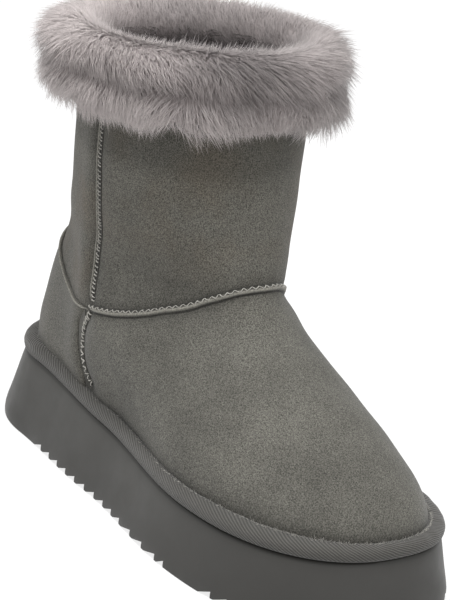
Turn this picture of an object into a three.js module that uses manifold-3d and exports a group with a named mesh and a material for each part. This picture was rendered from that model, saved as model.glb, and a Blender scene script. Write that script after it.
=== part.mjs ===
// Platform sheepskin boot with a fur cuff, right foot, in millimetres.
// X runs from heel to toe, -Y is the outer (lateral) side, +Z is up, and the floor is z = 0.
import * as THREE from "three";
import { mergeVertices } from "three/addons/utils/BufferGeometryUtils.js";
import Module from "manifold-3d";

const wasm = await Module();
wasm.setup();

// Driving dimensions
const soleLength = 270; // platform length at its top edge
const ballWidth = 104; // platform width across the ball, top edge
const heelWidth = 76; // platform width across the heel, top edge
const heelThickness = 35; // platform height under the heel
const ballThickness = 28.5; // platform height under the ball
const topToeSpring = 3.2; // rise of the platform's top at the toe
const treadToeSpring = 3.2; // rise of the tread at the toe
const heelFlare = 8; // how far the platform's foot stands out behind
const toeFlare = 5.5; // how far it stands out in front
const soleEdgeRound = 1.6; // rounding of the platform's top edge
const heelRise = 7; // how far the back of the tread curves up
const heelRiseLength = 20; // length of that curve
const toothDepth = 2.4; // depth of the tread's saw teeth
const toothTip = 1.2; // flat land on each tooth
const firstTooth = 54; // where the teeth begin, from the heel's back
const shortPitch = 9; // pitch of the teeth at heel and toe
const longPitch = 12; // pitch of the teeth in front of the waist
const ballLandLength = 23; // smooth stretch of tread under the ball
const wall = 3; // sheepskin wall, skin and pressed pile
const upperHeight = 167; // top of the shaft above the platform's heel, at its middle
const tapeHeight = 7; // woven tape round the platform's top edge
const tapeBulge = 1.1; // how far the tape stands proud of the platform
const insoleThickness = 6;
const counterThickness = 1.2; // heel counter laid on the shaft
const seamWidth = 4.2; // overlocked seams
const seamHeight = 1.9;
const cuffHeight = 50; // fur cuff, from its lower edge to its crest
const cuffReach = 17; // how far the fur stands out from the shaft
const cuffLean = 2.4; // how much more than that at the back of the outer side, and less opposite
const lockWidth = 15; // root of a fur lock
const gap = 0.3; // clearance between pieces that lie on each other

const lerp = (a, b, s) => a + (b - a) * s;
const clamp01 = (s) => Math.min(1, Math.max(0, s));
const smooth = (s) => clamp01(s) ** 2 * (3 - 2 * clamp01(s));
const ballAt = 0.7; // ball of the foot, as a share of the length
const heelAt = 0.12; // middle of the heel seat
const springAt = 0.78; // where the tread leaves the floor in front

// Height of the platform's top and of its tread at x.
function platformTop(x) {
  const s = x / soleLength;
  const wedge = heelThickness - ballThickness;
  const toe = clamp01((s - ballAt) / (1 - ballAt)) ** 2;
  return ballThickness + wedge * (1 - smooth((s - heelAt) / (ballAt - heelAt))) + topToeSpring * toe;
}
function treadRise(x) {
  const heel = clamp01(1 - (x + heelFlare) / heelRiseLength);
  const toe = clamp01((x / soleLength - springAt) / (1 - springAt));
  return heelRise * (1 - Math.sqrt(1 - heel * heel)) + treadToeSpring * toe * toe;
}

// Half width of a foot-shaped loop at share t of its length. side is -1 outside and 1 inside.
function halfWidth(t, row, side) {
  const waist = side < 0 ? row.waistOut : row.waistIn;
  const ball = side < 0 ? row.ballOut : row.ballIn;
  const rear = lerp(row.heel, waist, smooth((t - 0.14) / 0.26));
  const along = t < 0.4 ? rear : lerp(waist, ball, smooth((t - 0.4) / 0.3));
  const back = clamp01(1 - t / row.backSpan);
  const front = clamp01((t - 1 + row.frontSpan) / row.frontSpan);
  const round = (s, n) => (1 - s ** n) ** (1 / n);
  const swing = row.apex * clamp01((t - 0.55) / 0.45) ** 2;
  return side * along * round(back, row.backPower) * round(front, row.frontPower) + swing;
}

// The platform's top edge as a row of the same kind.
const soleRow = {
  heel: heelWidth / 2, waistOut: 0.415 * ballWidth, waistIn: 0.345 * ballWidth,
  ballOut: ballWidth / 2, ballIn: ballWidth / 2, backSpan: 0.15, frontSpan: 0.3,
  backPower: 2.07, frontPower: 2.37, apex: 4,
};

// Loop angles: 0 at the heel's back, pi at the toe, outer side first.
const loopAngles = (n) => Array.from({ length: n }, (_, i) => (2 * Math.PI * i) / n);
const sideOf = (angle) => (angle <= Math.PI ? -1 : 1);
const shareOf = (angle) => (1 - Math.cos(angle)) / 2;

function solePoint(angle) {
  const t = shareOf(angle);
  return new THREE.Vector2(t * soleLength, halfWidth(t, soleRow, sideOf(angle)));
}
// The sole's outline moved out by a distance, which may depend on x.
function outline(angles, distance) {
  const away = typeof distance === "number" ? () => distance : distance;
  return angles.map((angle) => {
    const step = 0.004;
    const along = solePoint(angle + step).sub(solePoint(angle - step + (angle < step ? 2 * Math.PI : 0)));
    const p = solePoint(angle);
    const normal = new THREE.Vector2(along.y, -along.x).normalize();
    return p.addScaledVector(normal, away(p.x));
  });
}

// A closed mesh from loops of points stacked one on another. Its ends are closed by strips from side to side, or the
// last loop is joined to the first.
function solidFromLoops(loops, ringClosed = false) {
  const n = loops[0].length;
  const faces = [];
  const stacks = ringClosed ? loops.length : loops.length - 1;
  for (let k = 0; k < stacks; k++) {
    const a = k * n;
    const b = ((k + 1) % loops.length) * n;
    for (let i = 0; i < n; i++) {
      const j = (i + 1) % n;
      faces.push(a + i, a + j, b + j, a + i, b + j, b + i);
    }
  }
  const cap = (a, b, c, k) => {
    if (k === 0) faces.push(a, c, b);
    else faces.push(a + k * n, b + k * n, c + k * n);
  };
  for (const k of ringClosed ? [] : [0, loops.length - 1]) {
    for (let i = 0; i < n / 2; i++) {
      const [p, q] = [(n - i) % n, n - i - 1];
      if (p !== i) cap(i, i + 1, p, k);
      if (q !== i + 1) cap(i + 1, q, p, k);
    }
  }
  const g = new THREE.BufferGeometry();
  g.setAttribute("position", new THREE.Float32BufferAttribute(loops.flat().flatMap((p) => [p.x, p.y, p.z]), 3));
  g.setIndex(faces);
  return g;
}

function toManifold(geometry) {
  const bare = geometry.clone();
  for (const name of Object.keys(bare.attributes)) if (name !== "position") bare.deleteAttribute(name);
  const merged = mergeVertices(bare, 1e-4);
  const solid = new wasm.Manifold(
    new wasm.Mesh({
      numProp: 3,
      vertProperties: merged.attributes.position.array,
      triVerts: new Uint32Array(merged.index.array),
    }),
  );
  if (solid.volume() > 0) return solid;
  const index = merged.index.array;
  const turned = index.map((v, i) => index[i - (i % 3) + [0, 2, 1][i % 3]]);
  merged.setIndex(Array.from(turned));
  return toManifold(merged);
}
function fromManifold(solid) {
  const mesh = solid.getMesh();
  const g = new THREE.BufferGeometry();
  g.setAttribute("position", new THREE.BufferAttribute(mesh.vertProperties, 3));
  g.setIndex(new THREE.BufferAttribute(mesh.triVerts, 1));
  return g;
}

// The platform: walls with a slight flare, a rounded top edge, and saw teeth cut across the tread.
function platform() {
  const angles = loopAngles(72);
  const flareAt = (x) => lerp(heelFlare, toeFlare, clamp01(x / soleLength));
  const levels = [
    { rise: 0, out: 0.86 }, { rise: 0.09, out: 1 }, { rise: 0.2, out: 0.9 }, { rise: 0.6, out: 0.42 },
  ];
  const loops = levels.map(({ rise, out }) =>
    outline(angles, (x) => out * flareAt(x)).map((p) => {
      const low = treadRise(p.x);
      return new THREE.Vector3(p.x, p.y, lerp(low, platformTop(p.x), rise));
    }),
  );
  for (const [inset, drop] of [[0, soleEdgeRound], [soleEdgeRound, 0]])
    loops.push(outline(angles, -inset).map((p) => new THREE.Vector3(p.x, p.y, platformTop(p.x) - drop)));
  return toManifold(solidFromLoops(loops)).subtract(treadGrooves());
}

// Saw teeth: each has an upright face at its heel end and a slope that rises towards the toe.
function treadGrooves() {
  const profile = [];
  const groove = (x, pitch) => {
    profile.push([
      [x + toothTip, treadRise(x) - 0.01], [x + pitch, treadRise(x + pitch) + toothDepth],
      [x + pitch, treadRise(x + pitch) - toothDepth], [x + toothTip, treadRise(x) - toothDepth],
    ]);
    return x + pitch;
  };
  let x = firstTooth;
  for (let i = 0; i < 10; i++) x = groove(x, shortPitch);
  for (let i = 0; i < 3; i++) x = groove(x, longPitch);
  x = groove(x, 0.8 * shortPitch) + ballLandLength;
  while (x < soleLength - shortPitch) x = groove(x, shortPitch);
  const cutters = profile.map((corners) => {
    const shape = new THREE.Shape(corners.map(([a, b]) => new THREE.Vector2(a, b)));
    const g = new THREE.ExtrudeGeometry(shape, { depth: 2 * ballWidth, bevelEnabled: false });
    g.rotateX(Math.PI / 2).translate(0, ballWidth, 0);
    return toManifold(g);
  });
  return wasm.Manifold.union(cutters);
}

// The upper's sections from its foot to its collar. Each is a foot-shaped loop from a point at the heel's back to one in
// front. back and front are shares of the sole's length, low and high of the upper's height, and the widths and apex of
// the ball's width. follow is how far the section keeps to the platform's wedge.
const sectionColumns = [
  "back", "low", "front", "high", "heel", "waistOut", "waistIn", "ballOut", "ballIn",
  "backSpan", "frontSpan", "backPower", "frontPower", "apex", "follow",
];
const sections = [
  [0.017, 0, 0.983, 0, 0.321, 0.371, 0.301, 0.456, 0.456, 0.16, 0.32, 2.07, 2.37, 0.038, 1],
  [0.022, 0.06, 0.983, 0.06, 0.329, 0.385, 0.325, 0.465, 0.461, 0.18, 0.42, 2.1, 2.35, 0.038, 1],
  [0.026, 0.125, 0.96, 0.118, 0.33, 0.408, 0.355, 0.457, 0.452, 0.2, 0.51, 2.15, 2.3, 0.038, 0.8],
  [0.031, 0.192, 0.917, 0.172, 0.327, 0.42, 0.378, 0.438, 0.436, 0.24, 0.62, 2.2, 2.25, 0.038, 0.6],
  [0.038, 0.258, 0.853, 0.22, 0.326, 0.42, 0.388, 0.419, 0.415, 0.29, 0.72, 2.2, 2.2, 0.038, 0.4],
  [0.053, 0.324, 0.776, 0.268, 0.329, 0.414, 0.39, 0.404, 0.4, 0.35, 0.81, 2.2, 2.1, 0.029, 0.25],
  [0.068, 0.39, 0.691, 0.322, 0.334, 0.404, 0.388, 0.391, 0.389, 0.41, 0.88, 2.15, 2.05, 0.019, 0.1],
  [0.08, 0.456, 0.62, 0.38, 0.36, 0.4, 0.389, 0.389, 0.388, 0.45, 0.88, 2.1, 2, 0.01, 0],
  [0.089, 0.522, 0.593, 0.445, 0.401, 0.406, 0.403, 0.404, 0.403, 0.48, 0.79, 2.05, 2, 0, 0],
  [0.097, 0.588, 0.581, 0.515, 0.426, 0.422, 0.42, 0.422, 0.421, 0.5, 0.68, 2, 2, 0, 0],
  [0.104, 0.665, 0.574, 0.6, 0.44, 0.438, 0.437, 0.438, 0.437, 0.5, 0.6, 2, 2, 0, 0],
  [0.108, 0.745, 0.566, 0.7, 0.448, 0.448, 0.448, 0.448, 0.448, 0.5, 0.55, 2, 2, 0, 0],
  [0.109, 0.825, 0.564, 0.815, 0.453, 0.453, 0.453, 0.453, 0.453, 0.5, 0.52, 2, 2, 0, 0],
  [0.111, 0.9, 0.564, 0.92, 0.455, 0.455, 0.455, 0.455, 0.455, 0.5, 0.5, 2, 2, 0, 0],
  [0.112, 0.97, 0.564, 1.025, 0.457, 0.457, 0.457, 0.457, 0.457, 0.5, 0.5, 2, 2, 0, 0],
];

// A smooth curve through rows of numbers, at share s of its way.
function through(rows, s) {
  const at = Math.min(Math.max(s, 0), 1) * (rows.length - 1);
  const k = Math.min(Math.floor(at), rows.length - 2);
  const u = at - k;
  const [a, b, c, d] = [-1, 0, 1, 2].map((i) => rows[Math.min(Math.max(k + i, 0), rows.length - 1)]);
  return b.map((p, i) => {
    const out = (c[i] - a[i]) / 2;
    const into = (d[i] - p) / 2;
    return p + u * out + u * u * (3 * (c[i] - p) - 2 * out - into) + u ** 3 * (2 * (p - c[i]) + out + into);
  });
}

// The upper's outer face, at share rise of the way up its sections and an angle round them.
function upperPoint(rise, angle) {
  const values = through(sections, rise);
  const row = Object.fromEntries(sectionColumns.map((name, i) => [name, values[i]]));
  for (const name of ["heel", "waistOut", "waistIn", "ballOut", "ballIn", "apex"]) row[name] *= ballWidth;
  const t = shareOf(angle);
  const x = lerp(row.back, row.front, t) * soleLength;
  const seat = lerp(heelThickness, platformTop(x), row.follow);
  const z = lerp(row.low, row.high, t) * upperHeight + seat + gap;
  return new THREE.Vector3(x, halfWidth(t, row, sideOf(angle)), z);
}
function upperNormal(rise, angle, level = false) {
  const full = 2 * Math.PI;
  const step = 0.02;
  const a = upperPoint(rise, (angle + step) % full);
  const b = upperPoint(rise, (angle - step + full) % full);
  const up = upperPoint(Math.min(rise + 0.01, 1), angle).sub(upperPoint(Math.max(rise - 0.01, 0), angle));
  const normal = a.sub(b).cross(up).normalize();
  if (level) normal.setZ(0).normalize();
  return normal;
}
// How far up the sections the outer face is at a height above the platform.
function riseAt(height, angle) {
  let [low, high] = [0, 1];
  for (let i = 0; i < 30; i++) {
    const middle = (low + high) / 2;
    const p = upperPoint(middle, angle);
    if (p.z - platformTop(p.x) < height) low = middle;
    else high = middle;
  }
  return low;
}
const isEnd = (rise) => rise === 0 || rise === 1;
const offUpper = (rise, angle, distance) =>
  upperPoint(rise, angle).addScaledVector(upperNormal(rise, angle, isEnd(rise)), distance);

function upperShell() {
  const angles = loopAngles(48);
  const spans = [[0, 0.46, 9], [0.46, 0.66, 8], [0.66, 1, 5]];
  const rises = spans.flatMap(([a, b, n]) => Array.from({ length: n }, (_, k) => lerp(a, b, k / n)));
  rises.push(1);
  const outside = rises.map((rise) => angles.map((angle) => upperPoint(rise, angle)));
  const inside = rises.map((rise) => angles.map((angle) => offUpper(rise, angle, -wall)));
  return solidFromLoops([...outside, ...inside.reverse()], true);
}

// The insole lies on the platform inside the upper's foot.
function insole() {
  const angles = loopAngles(48);
  const inset = (height, extra) =>
    angles.map((angle) => {
      const p = offUpper(riseAt(height, angle), angle, -(wall + 2 * gap + extra));
      return new THREE.Vector3(p.x, p.y, platformTop(p.x) + height);
    });
  return solidFromLoops([inset(gap, 0.5), inset(insoleThickness - 1, 0.5), inset(insoleThickness, 1.4)]);
}

// The woven tape: a bulging band over the platform's top edge and the upper's foot. inward is a share of the way from
// the platform's edge to the upper.
const tapeProfile = [
  { inward: 1, up: 0, out: 0 }, { inward: 0.3, up: 0, out: 0 }, { inward: 0, up: 0.16, out: 0.8 },
  { inward: 0, up: 0.45, out: 1.1 }, { inward: 0.12, up: 0.74, out: 0.8 }, { inward: 0.45, up: 0.94, out: 0.4 },
  { inward: 1, up: 1, out: 0 }, { inward: 1, up: 0.5, out: 0 },
];
function tape() {
  const angles = loopAngles(72);
  const loops = tapeProfile.map(({ inward, up, out }) => {
    const edge = outline(angles, out * tapeBulge);
    const height = gap + up * tapeHeight;
    return angles.map((angle, i) => {
      const foot = offUpper(Math.max(riseAt(height, angle), 1e-6), angle, 2 * gap);
      const x = lerp(edge[i].x, foot.x, inward);
      const y = lerp(edge[i].y, foot.y, inward);
      return new THREE.Vector3(x, y, platformTop(x) + height);
    });
  });
  return solidFromLoops(loops, true);
}

// Lines on the upper: turn is the angle from the heel's back in degrees, rise the share of the way up the sections.
const onUpper = (line) => line.map(([turn, rise]) => [(turn * Math.PI) / 180, rise]);
const sideSeamLine = onUpper([[75, 0.352], [76.4, 0.403], [83.4, 0.553], [86.6, 0.65], [87.6, 0.725], [88.8, 0.88]]);
const heelSeamLine = onUpper([[73.2, 0.306], [67.5, 0.232], [65.7, 0.157], [67, 0.11], [69.5, 0.084]]);
const vampSeamLine = onUpper([
  [74, 0.324], [81.7, 0.346], [91.1, 0.376], [100.9, 0.409], [111.9, 0.446],
  [127.6, 0.489], [144.6, 0.537], [161.9, 0.573], [180, 0.584],
]);
const counterLine = onUpper([
  [0, 0.43], [12, 0.422], [22, 0.402], [32.8, 0.374], [43.6, 0.345], [52.2, 0.317], [60.7, 0.307], [75, 0.316],
]);
const mirrored = (line) => line.map(([angle, rise]) => [2 * Math.PI - angle, rise]);

// The point over the upper at a small shift along its face.
function beside(rise, angle, shift, height) {
  const step = 0.004;
  const start = upperPoint(rise, angle);
  const up = upperPoint(rise + step, angle).sub(start).divideScalar(step);
  const round = upperPoint(rise, angle + step).sub(start).divideScalar(step);
  const [uu, ur, rr] = [up.dot(up), up.dot(round), round.dot(round)];
  const [su, sr] = [shift.dot(up), shift.dot(round)];
  const det = uu * rr - ur * ur;
  return offUpper(rise + (su * rr - sr * ur) / det, angle + (sr * uu - su * ur) / det, height);
}

// A rounded ridge along a line on the upper.
function ridge(line, count) {
  const profile = [[-0.5, 0], [-0.42, 0.6], [-0.15, 1], [0.15, 1], [0.42, 0.6], [0.5, 0]];
  const stations = Array.from({ length: count + 1 }, (_, i) => through(line, i / count));
  const centres = stations.map(([angle, rise]) => upperPoint(rise, angle));
  const loops = stations.map(([angle, rise], i) => {
    const along = centres[Math.min(i + 1, count)].clone().sub(centres[Math.max(i - 1, 0)]);
    const normal = upperNormal(rise, angle);
    const across = new THREE.Vector3().crossVectors(along, normal).normalize();
    const slim = i === 0 || i === count ? 0.75 : 1;
    return profile.map(([a, h]) =>
      beside(rise, angle, across.clone().multiplyScalar(a * seamWidth * slim), 1.3 * gap + h * seamHeight * slim),
    );
  });
  return solidFromLoops(loops);
}

// The heel counter: a thin layer on the upper between the two heel seams, from the tape up to its stitched line.
function counter() {
  const [across, up] = [30, 7];
  const both = [...counterLine.slice(1).reverse().map(([a, r]) => [-a, r]), ...counterLine];
  const edge = (angle) => {
    const k = both.findIndex(([a], i) => i + 1 < both.length && angle <= both[i + 1][0]);
    const [a, b] = [both[k], both[k + 1]];
    return lerp(a[1], b[1], (angle - a[0]) / (b[0] - a[0]));
  };
  const front = (share) => through(heelSeamLine, 1 - share)[0] - (2.5 * Math.PI) / 180;
  const grid = (distance) =>
    Array.from({ length: up + 1 }, (_, j) =>
      Array.from({ length: across + 1 }, (_, i) => {
        const flat = front(j / up) * ((2 * i) / across - 1);
        const foot = riseAt(tapeHeight + 3 * gap, (flat + 2 * Math.PI) % (2 * Math.PI));
        const rise = lerp(foot, edge(flat), j / up);
        return offUpper(rise, (flat + 2 * Math.PI) % (2 * Math.PI), distance);
      }),
    );
  const skin = [grid(1.4 * gap), grid(1.4 * gap + counterThickness)];
  const faces = [];
  const id = (layer, j, i) => (layer * (up + 1) + j) * (across + 1) + i;
  const quad = (a, b, c, d) => faces.push(a, b, c, a, c, d);
  for (let j = 0; j < up; j++)
    for (let i = 0; i < across; i++) {
      quad(id(1, j, i), id(1, j, i + 1), id(1, j + 1, i + 1), id(1, j + 1, i));
      quad(id(0, j, i), id(0, j + 1, i), id(0, j + 1, i + 1), id(0, j, i + 1));
    }
  for (let i = 0; i < across; i++) {
    quad(id(0, 0, i), id(0, 0, i + 1), id(1, 0, i + 1), id(1, 0, i));
    quad(id(1, up, i), id(1, up, i + 1), id(0, up, i + 1), id(0, up, i));
  }
  for (let j = 0; j < up; j++) {
    quad(id(1, j, 0), id(1, j + 1, 0), id(0, j + 1, 0), id(0, j, 0));
    quad(id(0, j, across), id(0, j + 1, across), id(1, j + 1, across), id(1, j, across));
  }
  const g = new THREE.BufferGeometry();
  g.setAttribute("position", new THREE.Float32BufferAttribute(skin.flat(2).flatMap((p) => [p.x, p.y, p.z]), 3));
  g.setIndex(faces);
  return g;
}

// The fur cuff clips over the collar. out is measured from the shaft's outer face and up from the collar's edge, as
// shares of the cuff's reach and height.
const cuffProfile = [
  { out: 0.03, up: -0.42 }, { out: 0.3, up: -0.5 }, { out: 0.66, up: -0.48 }, { out: 0.92, up: -0.34 },
  { out: 1, up: -0.14 }, { out: 0.93, up: 0.05 }, { out: 0.62, up: 0.2 }, { out: 0.15, up: 0.27 },
  { out: -0.3, up: 0.22 }, { out: -0.6, up: 0.05 }, { out: -0.72, up: -0.16 }, { out: -0.62, up: -0.34 },
  { out: -0.25, up: -0.4 },
];
const fullestTurn = 56; // where the cuff stands out most, in degrees round from the heel's back
function cuffOut(share, angle) {
  const lean = share > 0 ? cuffLean * Math.cos(angle - (fullestTurn * Math.PI) / 180) : 0;
  return share * (cuffReach + lean);
}
function cuffPoint(angle, out, up) {
  const rim = upperPoint(1, angle);
  const rise = up < 0 ? riseAt(rim.z - platformTop(rim.x) + up, angle) : 1;
  const p = up < 0 ? upperPoint(rise, angle) : rim.clone().setZ(rim.z + up);
  return p.addScaledVector(upperNormal(1, angle, true), out);
}
function cuff() {
  const angles = loopAngles(42);
  const slot = wall + 1.5 * gap;
  const loop = (out, up) => angles.map((angle) => cuffPoint(angle, out, up));
  const rollLoops = cuffProfile.map(({ out, up }) => {
    return angles.map((angle) => cuffPoint(angle, cuffOut(out, angle), up * cuffHeight));
  });
  const roll = toManifold(solidFromLoops(rollLoops, true));
  const levels = [-1, -0.75, -0.5, -0.25].map((share) => share * cuffHeight);
  levels.push(gap);
  const slotLoops = levels.map((up) => loop(-slot, up));
  slotLoops.push(...levels.reverse().map((up) => loop(1.5 * gap, up)));
  return roll.add(wasm.Manifold.union(locks())).subtract(toManifold(solidFromLoops(slotLoops, true)));
}

// Fur locks: curved cones rooted in the cuff, row by row. Each has a bend and a tip as shares of reach and height.
const lockRows = [
  { count: 18, out: 0.5, up: -0.36, tipOut: 0.8, tipUp: -0.66, wide: 1 },
  { count: 17, out: 0.82, up: -0.22, tipOut: 1.28, tipUp: -0.5, wide: 1.15 },
  { count: 15, out: 0.78, up: -0.02, tipOut: 1.34, tipUp: -0.18, wide: 1.3 },
];
function locks() {
  const solids = [];
  lockRows.forEach((row, level) => {
    for (let i = 0; i < row.count; i++) {
      const uneven = Math.sin(12.9 * (i + 1) + 7.3 * level);
      const angle = (2 * Math.PI * (i + 0.5 * (level % 2) + 0.18 * uneven)) / row.count;
      const wrap = (a) => (a + 2 * Math.PI) % (2 * Math.PI);
      const lean = 0.06 * Math.sin(5.1 * i + level);
      const reach = 0.86 + 0.14 * Math.sin(7.7 * i + 2 * level);
      const out = cuffOut(row.out, angle);
      const root = cuffPoint(wrap(angle), out * 0.5, row.up * cuffHeight * 0.9);
      const bend = cuffPoint(wrap(angle), out, row.up * cuffHeight);
      const tip = cuffPoint(wrap(angle + lean), reach * cuffOut(row.tipOut, angle), row.tipUp * reach * cuffHeight);
      solids.push(lock([root, bend, tip], (row.wide * lockWidth) / 2));
    }
  });
  return solids;
}
function lock([root, bend, tip], radius) {
  const sides = 4;
  const ring = (centre, along, r) => {
    const u = new THREE.Vector3(0, 0, 1).cross(along).normalize();
    const v = new THREE.Vector3().crossVectors(along, u);
    return Array.from({ length: sides }, (_, k) => {
      const a = (2 * Math.PI * k) / sides;
      return centre.clone().addScaledVector(u, r * Math.cos(a)).addScaledVector(v, 0.7 * r * Math.sin(a));
    });
  };
  const along = tip.clone().sub(root).normalize();
  const points = [...ring(root, along, radius), ...ring(bend, along, 0.85 * radius), tip, root];
  const faces = [];
  for (let k = 0; k < sides; k++) {
    const m = (k + 1) % sides;
    faces.push(k, m, sides + m, k, sides + m, sides + k, sides + k, sides + m, 2 * sides, m, k, 2 * sides + 1);
  }
  const g = new THREE.BufferGeometry();
  g.setAttribute("position", new THREE.Float32BufferAttribute(points.flatMap((p) => [p.x, p.y, p.z]), 3));
  g.setIndex(faces);
  return toManifold(g);
}

const suede = 0x5f5e58;
const boot = new THREE.Group();
boot.name = "sheepskin_boot";
function piece(name, solid, color, roughness) {
  const geometry = fromManifold(solid instanceof THREE.BufferGeometry ? toManifold(solid) : solid);
  const mesh = new THREE.Mesh(geometry, new THREE.MeshStandardMaterial({ color, roughness, metalness: 0 }));
  mesh.name = name;
  boot.add(mesh);
}
piece("outsole", platform(), 0x585754, 0.6);
piece("upper", upperShell(), suede, 0.95);
piece("insole", insole(), 0xa8a19a, 1);
piece("rand_tape", tape(), 0x6a6964, 0.9);
piece("heel_counter", counter(), 0x63615b, 0.95);
piece("vamp_seam", ridge([...vampSeamLine, ...mirrored(vampSeamLine).reverse().slice(1)], 40), 0x74726b, 0.9);
piece("side_seam_outer", ridge(sideSeamLine, 16), 0x6e6c65, 0.9);
piece("side_seam_inner", ridge(mirrored(sideSeamLine), 16), 0x6e6c65, 0.9);
piece("heel_seam_outer", ridge(heelSeamLine, 8), 0x6e6c65, 0.9);
piece("heel_seam_inner", ridge(mirrored(heelSeamLine), 8), 0x6e6c65, 0.9);
piece("fur_cuff", cuff(), 0x9a9290, 1);

// The origin is under the middle of the whole boot.
const bounds = new THREE.Box3().setFromObject(boot);
const middle = bounds.getCenter(new THREE.Vector3());
for (const mesh of boot.children) mesh.geometry.translate(-middle.x, -middle.y, 0);

export default boot;
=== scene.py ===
"""Sheepskin boot with a suede upper, woven tape, moulded platform and deep fur cuff, built on the frame."""

import math

import bpy
import numpy as np
from bpy.props import FloatProperty, FloatVectorProperty, IntProperty, PointerProperty
from mathutils import Matrix, Vector


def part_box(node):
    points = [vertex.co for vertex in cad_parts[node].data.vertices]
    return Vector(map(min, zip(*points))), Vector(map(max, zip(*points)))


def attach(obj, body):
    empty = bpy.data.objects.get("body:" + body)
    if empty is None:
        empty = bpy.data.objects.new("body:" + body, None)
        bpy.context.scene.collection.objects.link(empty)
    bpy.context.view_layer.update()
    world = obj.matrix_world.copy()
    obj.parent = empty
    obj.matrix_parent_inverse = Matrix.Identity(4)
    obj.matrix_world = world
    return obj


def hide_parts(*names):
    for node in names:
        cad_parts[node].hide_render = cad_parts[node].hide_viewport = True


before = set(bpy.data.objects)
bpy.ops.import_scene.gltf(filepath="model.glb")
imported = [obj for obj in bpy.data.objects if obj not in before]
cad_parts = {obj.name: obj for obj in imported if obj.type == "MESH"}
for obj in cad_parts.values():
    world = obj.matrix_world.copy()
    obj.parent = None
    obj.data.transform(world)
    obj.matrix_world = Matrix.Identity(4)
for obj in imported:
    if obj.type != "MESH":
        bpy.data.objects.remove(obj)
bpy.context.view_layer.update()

bl_info = {
    "name": "Sheepskin Boot",
    "version": (1, 0, 0),
    "blender": (4, 5, 0),
    "location": "View3D > Sidebar > Boot",
    "description": "Makes the suede, seams, tape, platform, fleece and fur of a sheepskin boot",
    "category": "Add Mesh",
}

MM = 0.001
TURN = 2 * math.pi

# The boot's own sizes in millimetres. X runs from the heel's back to the toe, -Y is the outer side and the
# floor is z = 0.
SOLE_LENGTH = 270.0
BALL_WIDTH = 104.0
HEEL_WIDTH = 76.0
HEEL_THICKNESS = 35.0
BALL_THICKNESS = 28.5
TOE_SPRING = 3.2
HEEL_FLARE = 8.0
TOE_FLARE = 5.5
HEEL_RISE = 7.0
HEEL_RISE_LENGTH = 20.0
TOOTH_CUT = 3.24
TOOTH_TIP = 1.2
FIRST_TOOTH = 54.0
SHORT_PITCH = 9.0
LONG_PITCH = 12.0
BALL_LAND = 23.0
UPPER_HEIGHT = 167.0
WALL = 3.0
GAP = 0.3
TAPE_HEIGHT = 7.0
CUFF_REACH = 17.0
CUFF_LEAN = 2.4
CUFF_HEIGHT = 50.0

# Places along the sole and the upper's sections, and the runs over which they change, as shares of length.
BALL_AT = 0.7
HEEL_AT = 0.12
SPRING_AT = 0.78
HEEL_END, HEEL_RUN = 0.14, 0.26
WAIST_AT, WAIST_RUN = 0.4, 0.3
APEX_FROM, APEX_RUN = 0.55, 0.45

# Half steps used to measure directions on the sole's edge and the upper, as angle and share of the height.
EDGE_STEP = 0.004
TURN_STEP = 0.02
RISE_STEP = 0.01
# Halvings of the search for a height on the upper, and the distance within which vertices are merged.
HALVINGS = 22
MERGE_DISTANCE = 2e-5
# Within this share of the sections' ends the upper's direction is kept level, so that its edges stay flat.
END_SHARE = 0.001

# Sections of the upper from its foot to its collar, as shares of the sizes above.
COLUMNS = (
    "back low front high heel waist_out waist_in ball_out ball_in "
    "back_span front_span back_power front_power apex follow"
).split()
SECTIONS = np.array([
    [0.017, 0, 0.983, 0, 0.321, 0.371, 0.301, 0.456, 0.456, 0.16, 0.32, 2.07, 2.37, 0.038, 1],
    [0.022, 0.06, 0.983, 0.06, 0.329, 0.385, 0.325, 0.465, 0.461, 0.18, 0.42, 2.1, 2.35, 0.038, 1],
    [0.026, 0.125, 0.96, 0.118, 0.33, 0.408, 0.355, 0.457, 0.452, 0.2, 0.51, 2.15, 2.3, 0.038, 0.8],
    [0.031, 0.192, 0.917, 0.172, 0.327, 0.42, 0.378, 0.438, 0.436, 0.24, 0.62, 2.2, 2.25, 0.038, 0.6],
    [0.038, 0.258, 0.853, 0.22, 0.326, 0.42, 0.388, 0.419, 0.415, 0.29, 0.72, 2.2, 2.2, 0.038, 0.4],
    [0.053, 0.324, 0.776, 0.268, 0.329, 0.414, 0.39, 0.404, 0.4, 0.35, 0.81, 2.2, 2.1, 0.029, 0.25],
    [0.068, 0.39, 0.691, 0.322, 0.334, 0.404, 0.388, 0.391, 0.389, 0.41, 0.88, 2.15, 2.05, 0.019, 0.1],
    [0.08, 0.456, 0.62, 0.38, 0.36, 0.4, 0.389, 0.389, 0.388, 0.45, 0.88, 2.1, 2, 0.01, 0],
    [0.089, 0.522, 0.593, 0.445, 0.401, 0.406, 0.403, 0.404, 0.403, 0.48, 0.79, 2.05, 2, 0, 0],
    [0.097, 0.588, 0.581, 0.515, 0.426, 0.422, 0.42, 0.422, 0.421, 0.5, 0.68, 2, 2, 0, 0],
    [0.104, 0.665, 0.574, 0.6, 0.44, 0.438, 0.437, 0.438, 0.437, 0.5, 0.6, 2, 2, 0, 0],
    [0.108, 0.745, 0.566, 0.7, 0.448, 0.448, 0.448, 0.448, 0.448, 0.5, 0.55, 2, 2, 0, 0],
    [0.109, 0.825, 0.564, 0.815, 0.453, 0.453, 0.453, 0.453, 0.453, 0.5, 0.52, 2, 2, 0, 0],
    [0.111, 0.9, 0.564, 0.92, 0.455, 0.455, 0.455, 0.455, 0.455, 0.5, 0.5, 2, 2, 0, 0],
    [0.112, 0.97, 0.564, 1.025, 0.457, 0.457, 0.457, 0.457, 0.457, 0.5, 0.5, 2, 2, 0, 0],
])
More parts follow.
